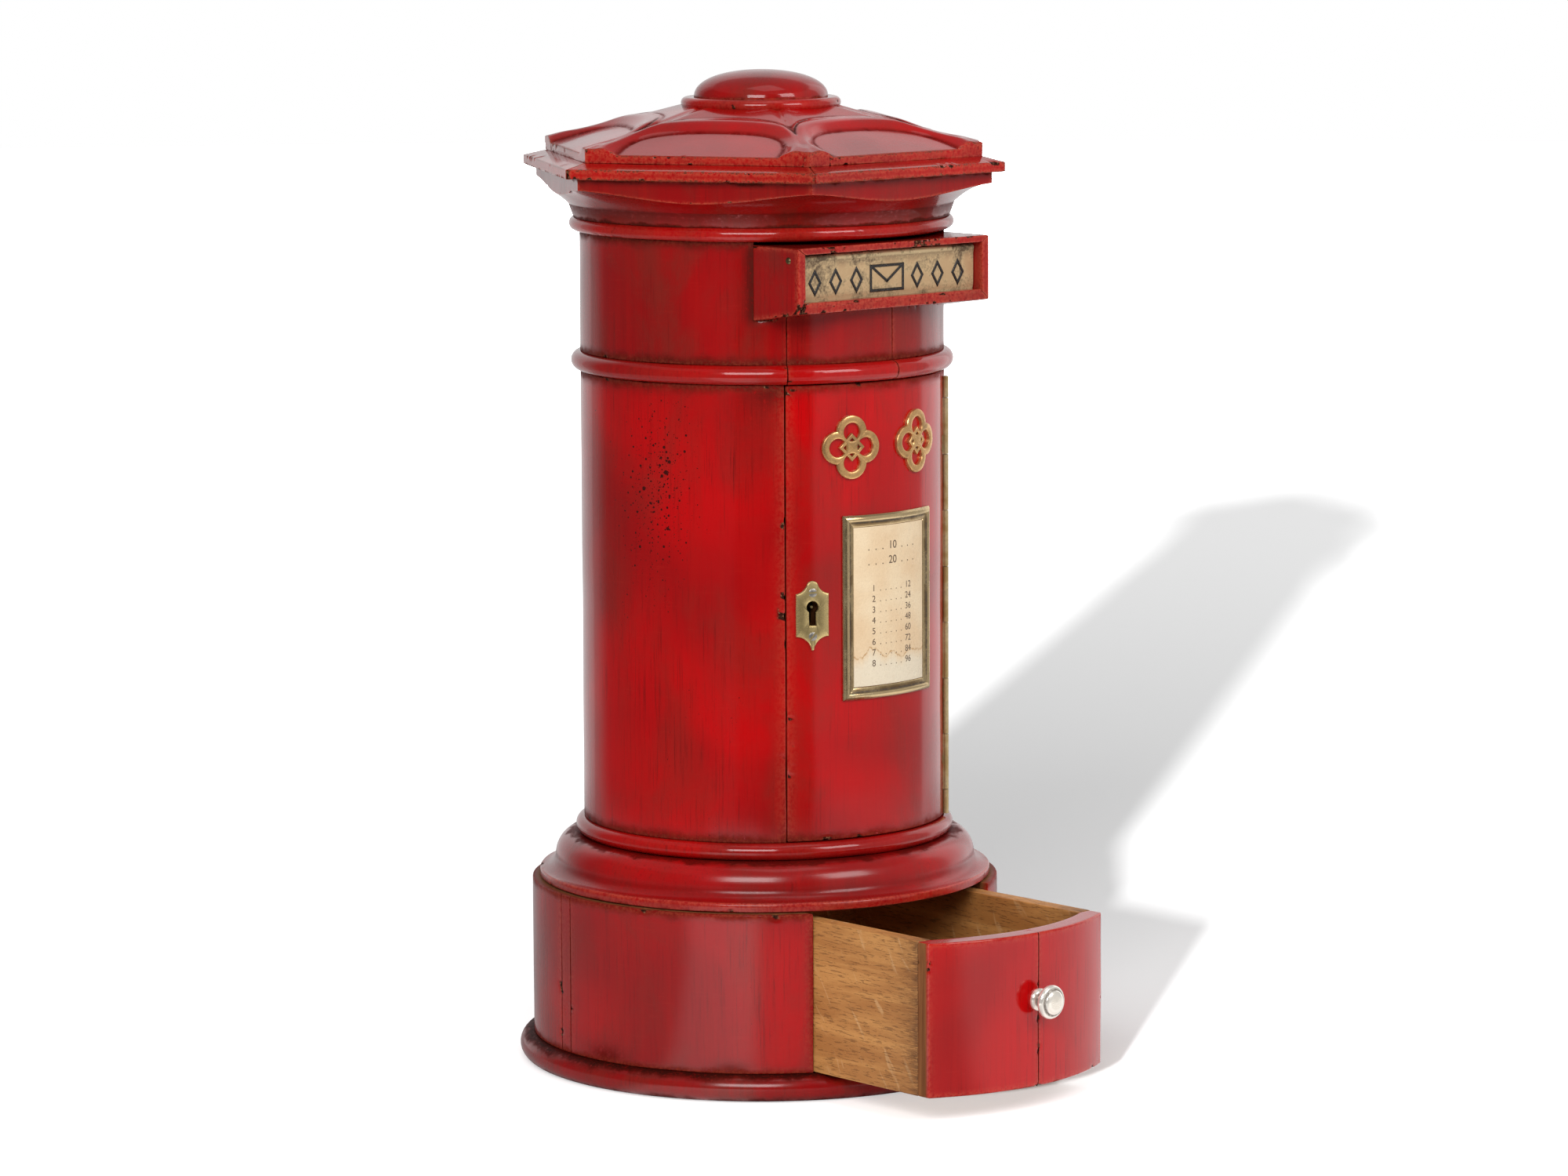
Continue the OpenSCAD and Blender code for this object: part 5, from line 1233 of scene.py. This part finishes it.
def printed(name, lines, size, spacing, up, finish):
    """Lines of generic numbers, centred on the card at a height above its middle, in millimetres"""
    words = bpy.data.curves.new(name, "FONT")
    words.body = "\n".join(lines)
    words.size, words.space_line, words.align_x, words.extrude = size * MM, spacing, "CENTER", 0.03 * MM
    flat = bpy.data.objects.new("flat_text", words)
    bpy.context.scene.collection.objects.link(flat)
    mesh = final_mesh(flat)
    bpy.data.objects.remove(flat)
    points = points_of(mesh)
    points[:, :2] -= (points[:, :2].min(0) + points[:, :2].max(0)) / 2
    s, rise, h = points.T
    points = round_axis(DRUM_R + CARD_TOP + h, NOTICE_BEARING + np.degrees(s / DRUM_R), NOTICE_MID + up + rise)
    mesh.vertices.foreach_set("co", (points * MM).astype(np.float32).reshape(-1))
    mesh.materials.clear()
    mesh.materials.append(finish)
    numbers = bpy.data.objects.new(name, mesh)
    bpy.context.scene.collection.objects.link(numbers)
    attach(numbers, "door")
    print(name, len(mesh.polygons), "faces")


printed("table_of_numbers", ["%d  .  .  .  .  .  %d" % (i, 12 * i) for i in range(1, 9)], 4.2, 1.17, -9, ink)
printed("upper_numbers", [".  .  .  10  .  .  .", ".  .  .  20  .  .  ."], 5.2, 1.3, 24, ink)

# %% [markdown]
# ## Drawer
# The front is a block bent to the drum's circle, thinner at its ends, where it covers the ends of the two
# oak sides. The knob is turned about a level axis. The whole drawer stands 74.4 mm out of the base.

# %% Drawer
DRAWER_W, DRAWER_Z, DRAWER_H, PULLED, FRONT_T, SIDE_T, BACK_Y = 108.0, 12.6, 69.8, 74.4, 9.5, 8.0, 70.0
BACK_T, BACK_H, BASE_Y = 8.0, DRAWER_H - 6, 7
side_front = BASE_Y - np.sqrt(BASE_R ** 2 - DRAWER_W ** 2 / 4)
side_y, side_l = (BACK_Y + side_front) / 2 - PULLED, BACK_Y - side_front
shoulder = DRAWER_W / 2 - SIDE_T
seam = (*(side * shoulder + d for side in (-1, 1) for d in (-0.05, 0.05)), -0.4, -0.15, 0, 0.15, 0.4)
points, quads = block((DRAWER_W, FRONT_T, DRAWER_H), 0.8, (1.6, 2.5, 1.2), (seam, (), ()))
x, y, z = points.T
groove = np.maximum(0, 1 - np.abs(x) / GROOVE_W) * (y < 0.5 - FRONT_T / 2)
x = x + upright_sway(x, z, 0, 0.4, 25, 3)
outer = GROOVE_D * groove - np.sqrt(BASE_R ** 2 - x ** 2)
inner = -np.sqrt((BASE_R - FRONT_T) ** 2 - np.minimum(x ** 2, shoulder ** 2))
inner = np.where(np.abs(x) < shoulder, inner, side_front)
y = outer + (y / FRONT_T + 0.5) * (inner - outer) - PULLED
front = outward(np.stack([x, y, z + DRAWER_Z + DRAWER_H / 2], 1), quads)
build("curved_front", front, "drawer", "red_lacquer", front_red, ["drawer_front"], wave=0.12, chips=0.5, seed=51,
      crack=cracked(groove, 0.9),
      raw=(np.abs(x) > DRAWER_W / 2 - 0.3) * step_up(y - outer + PULLED, 0.7, 1.2))
for side, name in ((-1, "left_side"), (1, "right_side")):
    place = (side * (DRAWER_W - SIDE_T) / 2, side_y, DRAWER_Z + DRAWER_H / 2)
    shell = board_at(place, (SIDE_T, side_l, DRAWER_H), 0.5, (2, 3, 1.5))
    front_end = np.exp(-(shell[0][:, 1] + PULLED - side_front) / 9) * 0.9
    build(name + "_of_oak", shell, "drawer", "bare_oak", oak_side, ["drawer_" + name], wave=0.1, seed=52 + side,
          stain=front_end)
back = board_at((0, BACK_Y - BACK_T / 2 - PULLED, DRAWER_Z + BACK_H / 2), (DRAWER_W - 2 * SIDE_T, BACK_T, BACK_H),
                0.5, (3, 2, 1.5))
build("back_of_oak", back, "drawer", "bare_oak", oak_across, ["drawer_back"], wave=0.1, seed=54)

KNOB_Z, KNOB_SUNK = 52.0, 0.15
knob = [(0, 0), (5.1, 0), (5.1, 1.2), (4.3, 2), (2.9, 2.8), (2.9, 5.04), (3.85, 5.88), (7.1, 6.72), (7.7, 7.44),
        (7.7, 8.64), (7.0, 9.6), (5.7, 9.96), (5.4, 10.8), (3.85, 11.64), (0, 12.0)]
rounds = [0, 0.2, 0.3, 0.4, 0.6, 0.8, 1.2, 0.8, 0.5, 0.6, 0.5, 0.25, 0.5, 1.5, 0]
points, quads = turned(spaced(soften(knob, rounds), 0.35), 140)
x, y, z = points.T
build("turned_knob", outward(np.stack([x, KNOB_SUNK - BASE_R - PULLED - z, KNOB_Z + y], 1), quads), "drawer",
      "plated_knob", silver, ["drawer_knob"], sharp=40)

# %% [markdown]
# ## Hidden and small pieces keep their CAD form
# The plinth, the boards inside, the lock, the pins, the hinge and most screws are shown as they come from
# the CAD frame. They only take a finish, which goes on the object and leaves the CAD mesh alone.

# %% Finishes of the kept nodes
kept = {
    plinth_red: ("plinth",), oak_across: ("drawer_guides", "drawer_stop"),
    pine: ("compartment_floor", "cap_core", "finial_dowel", "drawer_bottom"),
    brass: ("flap_pins", "lock_plate", "lock_case", "strike_plate"),
    hinge_brass: ("door_leaf", "jamb_leaf", "hinge_pin", "door_leaf_screws", "jamb_leaf_screws"),
    steel: ("plinth_screws", "lock_plate_screws", "lock_bolt", "strike_screws", "knob_screw")}
for finish, nodes in kept.items():
    for node in nodes:
        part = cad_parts[node]
        if not part.material_slots:
            part.data.materials.append(None)
        part.material_slots[0].link = "OBJECT"
        part.material_slots[0].material = finish
print(sum(len(nodes) for nodes in kept.values()), "CAD nodes take a finish")

# %% [markdown]
# ## Studio
# A pale floor and soft boxes: a large one at the left front, one at the right and a weak one overhead. The
# photograph's long shadow comes from a low sun that lights only the floor, as light linking allows. Diffuse
# light comes evenly from a grey surround. Gloss shows what stood round the box: a white backdrop behind, a
# bright strip at the right, paler walls left and right and a dark gap beside the camera. These are steps of
# the direction's azimuth under a dim ceiling. In gloss the floor has two pools of painted light in front of
# the box, and beyond arm's reach it lets glossy rays through.

# %% Surround
def light_rays(tree):
    """Which kind of ray asks: the light path's outputs by name"""
    return {s.name: Value(s) for s in put(tree, "LightPath").outputs}


def round_about(vector):
    """A vector's azimuth in degrees from the front, and its height"""
    x, y, z = (Value(s) for s in put(vector.id_data, "SeparateXYZ", {0: vector}).outputs)
    return reckon("ARCTAN2", x, y * -1.0) * (180 / pi), z


def wall_between(bearing, start, stop, level, soft=3.0):
    """A brightness between two azimuths, with soft edges"""
    return rising(bearing, start - soft, start + soft, level) * rising(bearing, stop + soft, stop - soft)


DIFFUSE_LIGHT, CEILING_LIGHT = 0.34, 0.3
world = bpy.data.worlds.new("studio")
bpy.context.scene.world = world
world.use_nodes = True
tree = world.node_tree
bearing, up = round_about(put(tree, "TexCoord").outputs["Generated"])
walls = wall_between(bearing, -300, -166, 0.36, 9)
for start, stop, level in ((-300, -59, 0.13), (-59, -10, 0.02), (-10, 79, 0.5), (79, 112, 1.3), (112, 300, 0.8)):
    walls = walls + wall_between(bearing, start, stop, level)
below = rising(up, 0.67, 0.60)
walls = walls * below + (1.0 - below) * CEILING_LIGHT
rays = light_rays(tree)
level = most(rays["Is Camera Ray"], rays["Is Glossy Ray"] * walls, rays["Is Diffuse Ray"] * DIFFUSE_LIGHT)
background = tree.nodes["Background"]
background.inputs["Color"].default_value = (1, 1, 1, 1)
tree.links.new(level.socket, background.inputs["Strength"])
print("surround with", len(tree.nodes), "nodes")

# %% Floor
FLOOR_R, FLOOR_DROP, FLOOR_GREY = 7, 0.2 * MM, 0.55
turn = np.linspace(0, 2 * pi, 128, endpoint=False)
floor_mesh = bpy.data.meshes.new("floor")
floor_mesh.from_pydata(np.stack([FLOOR_R * np.cos(turn), FLOOR_R * np.sin(turn), 0 * turn - FLOOR_DROP], 1).tolist(),
                       [], [list(range(len(turn)))])
floor = bpy.data.objects.new("floor", floor_mesh)
bpy.context.scene.collection.objects.link(floor)
floor_finish = bpy.data.materials.new("floor_white")
floor_finish.use_nodes = True
tree = floor_finish.node_tree
plain = tree.nodes["Principled BSDF"]
plain.inputs["Roughness"].default_value = 0.9
plain.inputs["Specular IOR Level"].default_value = 0.1
rays = light_rays(tree)
place = put(tree, "TexCoord").outputs["Object"]
reach = result(tree, "VectorMath", {0: place}, "Value", operation="LENGTH")
bearing, up = round_about(place)


def grey_colour(value):
    return result(value.tree, "CombineColor", {0: value, 1: value, 2: value})


# In gloss only, the floor takes two pools of painted light in front of the box
painted_light_pools = wall_between(bearing, -76, -45, 0.65, 5) + wall_between(bearing, -5, 80, 0.5, 5) + 0.35
grey = rays["Is Glossy Ray"] * (painted_light_pools - FLOOR_GREY) + FLOOR_GREY
tree.links.new(grey_colour(grey).socket, plain.inputs["Base Color"])
white = rising(reach, 0.3, 2.4, 0.8) + rising(reach, 2.8, 5.0, 5.0) + 1.0
shown = put(tree, "BsdfDiffuse", {0: grey_colour(white)})
both = put(tree, "MixShader", {0: rays["Is Camera Ray"], 1: plain.outputs[0], 2: shown.outputs[0]})
away = rays["Is Glossy Ray"] * rising(reach, 0.6, 0.85)
both = put(tree, "MixShader", {0: away, 1: both.outputs[0], 2: put(tree, "BsdfTransparent").outputs[0]})
tree.links.new(both.outputs[0], tree.nodes["Material Output"].inputs["Surface"])
floor_mesh.materials.append(floor_finish)
print("floor", 2 * FLOOR_R, "m across")


# %% Lamps
def lamp(name, light, turned_to, place=(0, 0, 0)):
    holder = bpy.data.objects.new(name, light)
    holder.matrix_world = Matrix.Translation(place) @ turned_to.to_track_quat("Z", "Y").to_matrix().to_4x4()
    bpy.context.scene.collection.objects.link(holder)
    return holder


def soft_box(name, bearing, height, distance, width, tall, power):
    """A rectangle of light that faces the middle of the object from that azimuth and height"""
    light = bpy.data.lights.new(name, "AREA")
    light.shape, light.size, light.size_y, light.energy = "RECTANGLE", width, tall, power
    place = towards(radians(bearing)) * distance + Vector((0, 0, height))
    lamp(name, light, place - Vector((0, 0, 0.2)), place)


soft_box("key", -50, 1.35, 2.2, 1.2, 0.9, 33)
soft_box("right", 8, 1.4, 1.9, 0.9, 0.9, 18)
soft_box("overhead", 0, 2.2, 0.3, 1.0, 1.0, 3)
sun = bpy.data.lights.new("low_sun", "SUN")
sun.energy, sun.angle = 8.5, radians(2.0)
low_sun = lamp("low_sun", sun, towards(radians(-53.4), radians(11.2)))
only_floor = bpy.data.collections.new("lit_by_low_sun")
only_floor.objects.link(floor)
low_sun.light_linking.receiver_collection = only_floor
print(len(bpy.data.lights), "lamps")
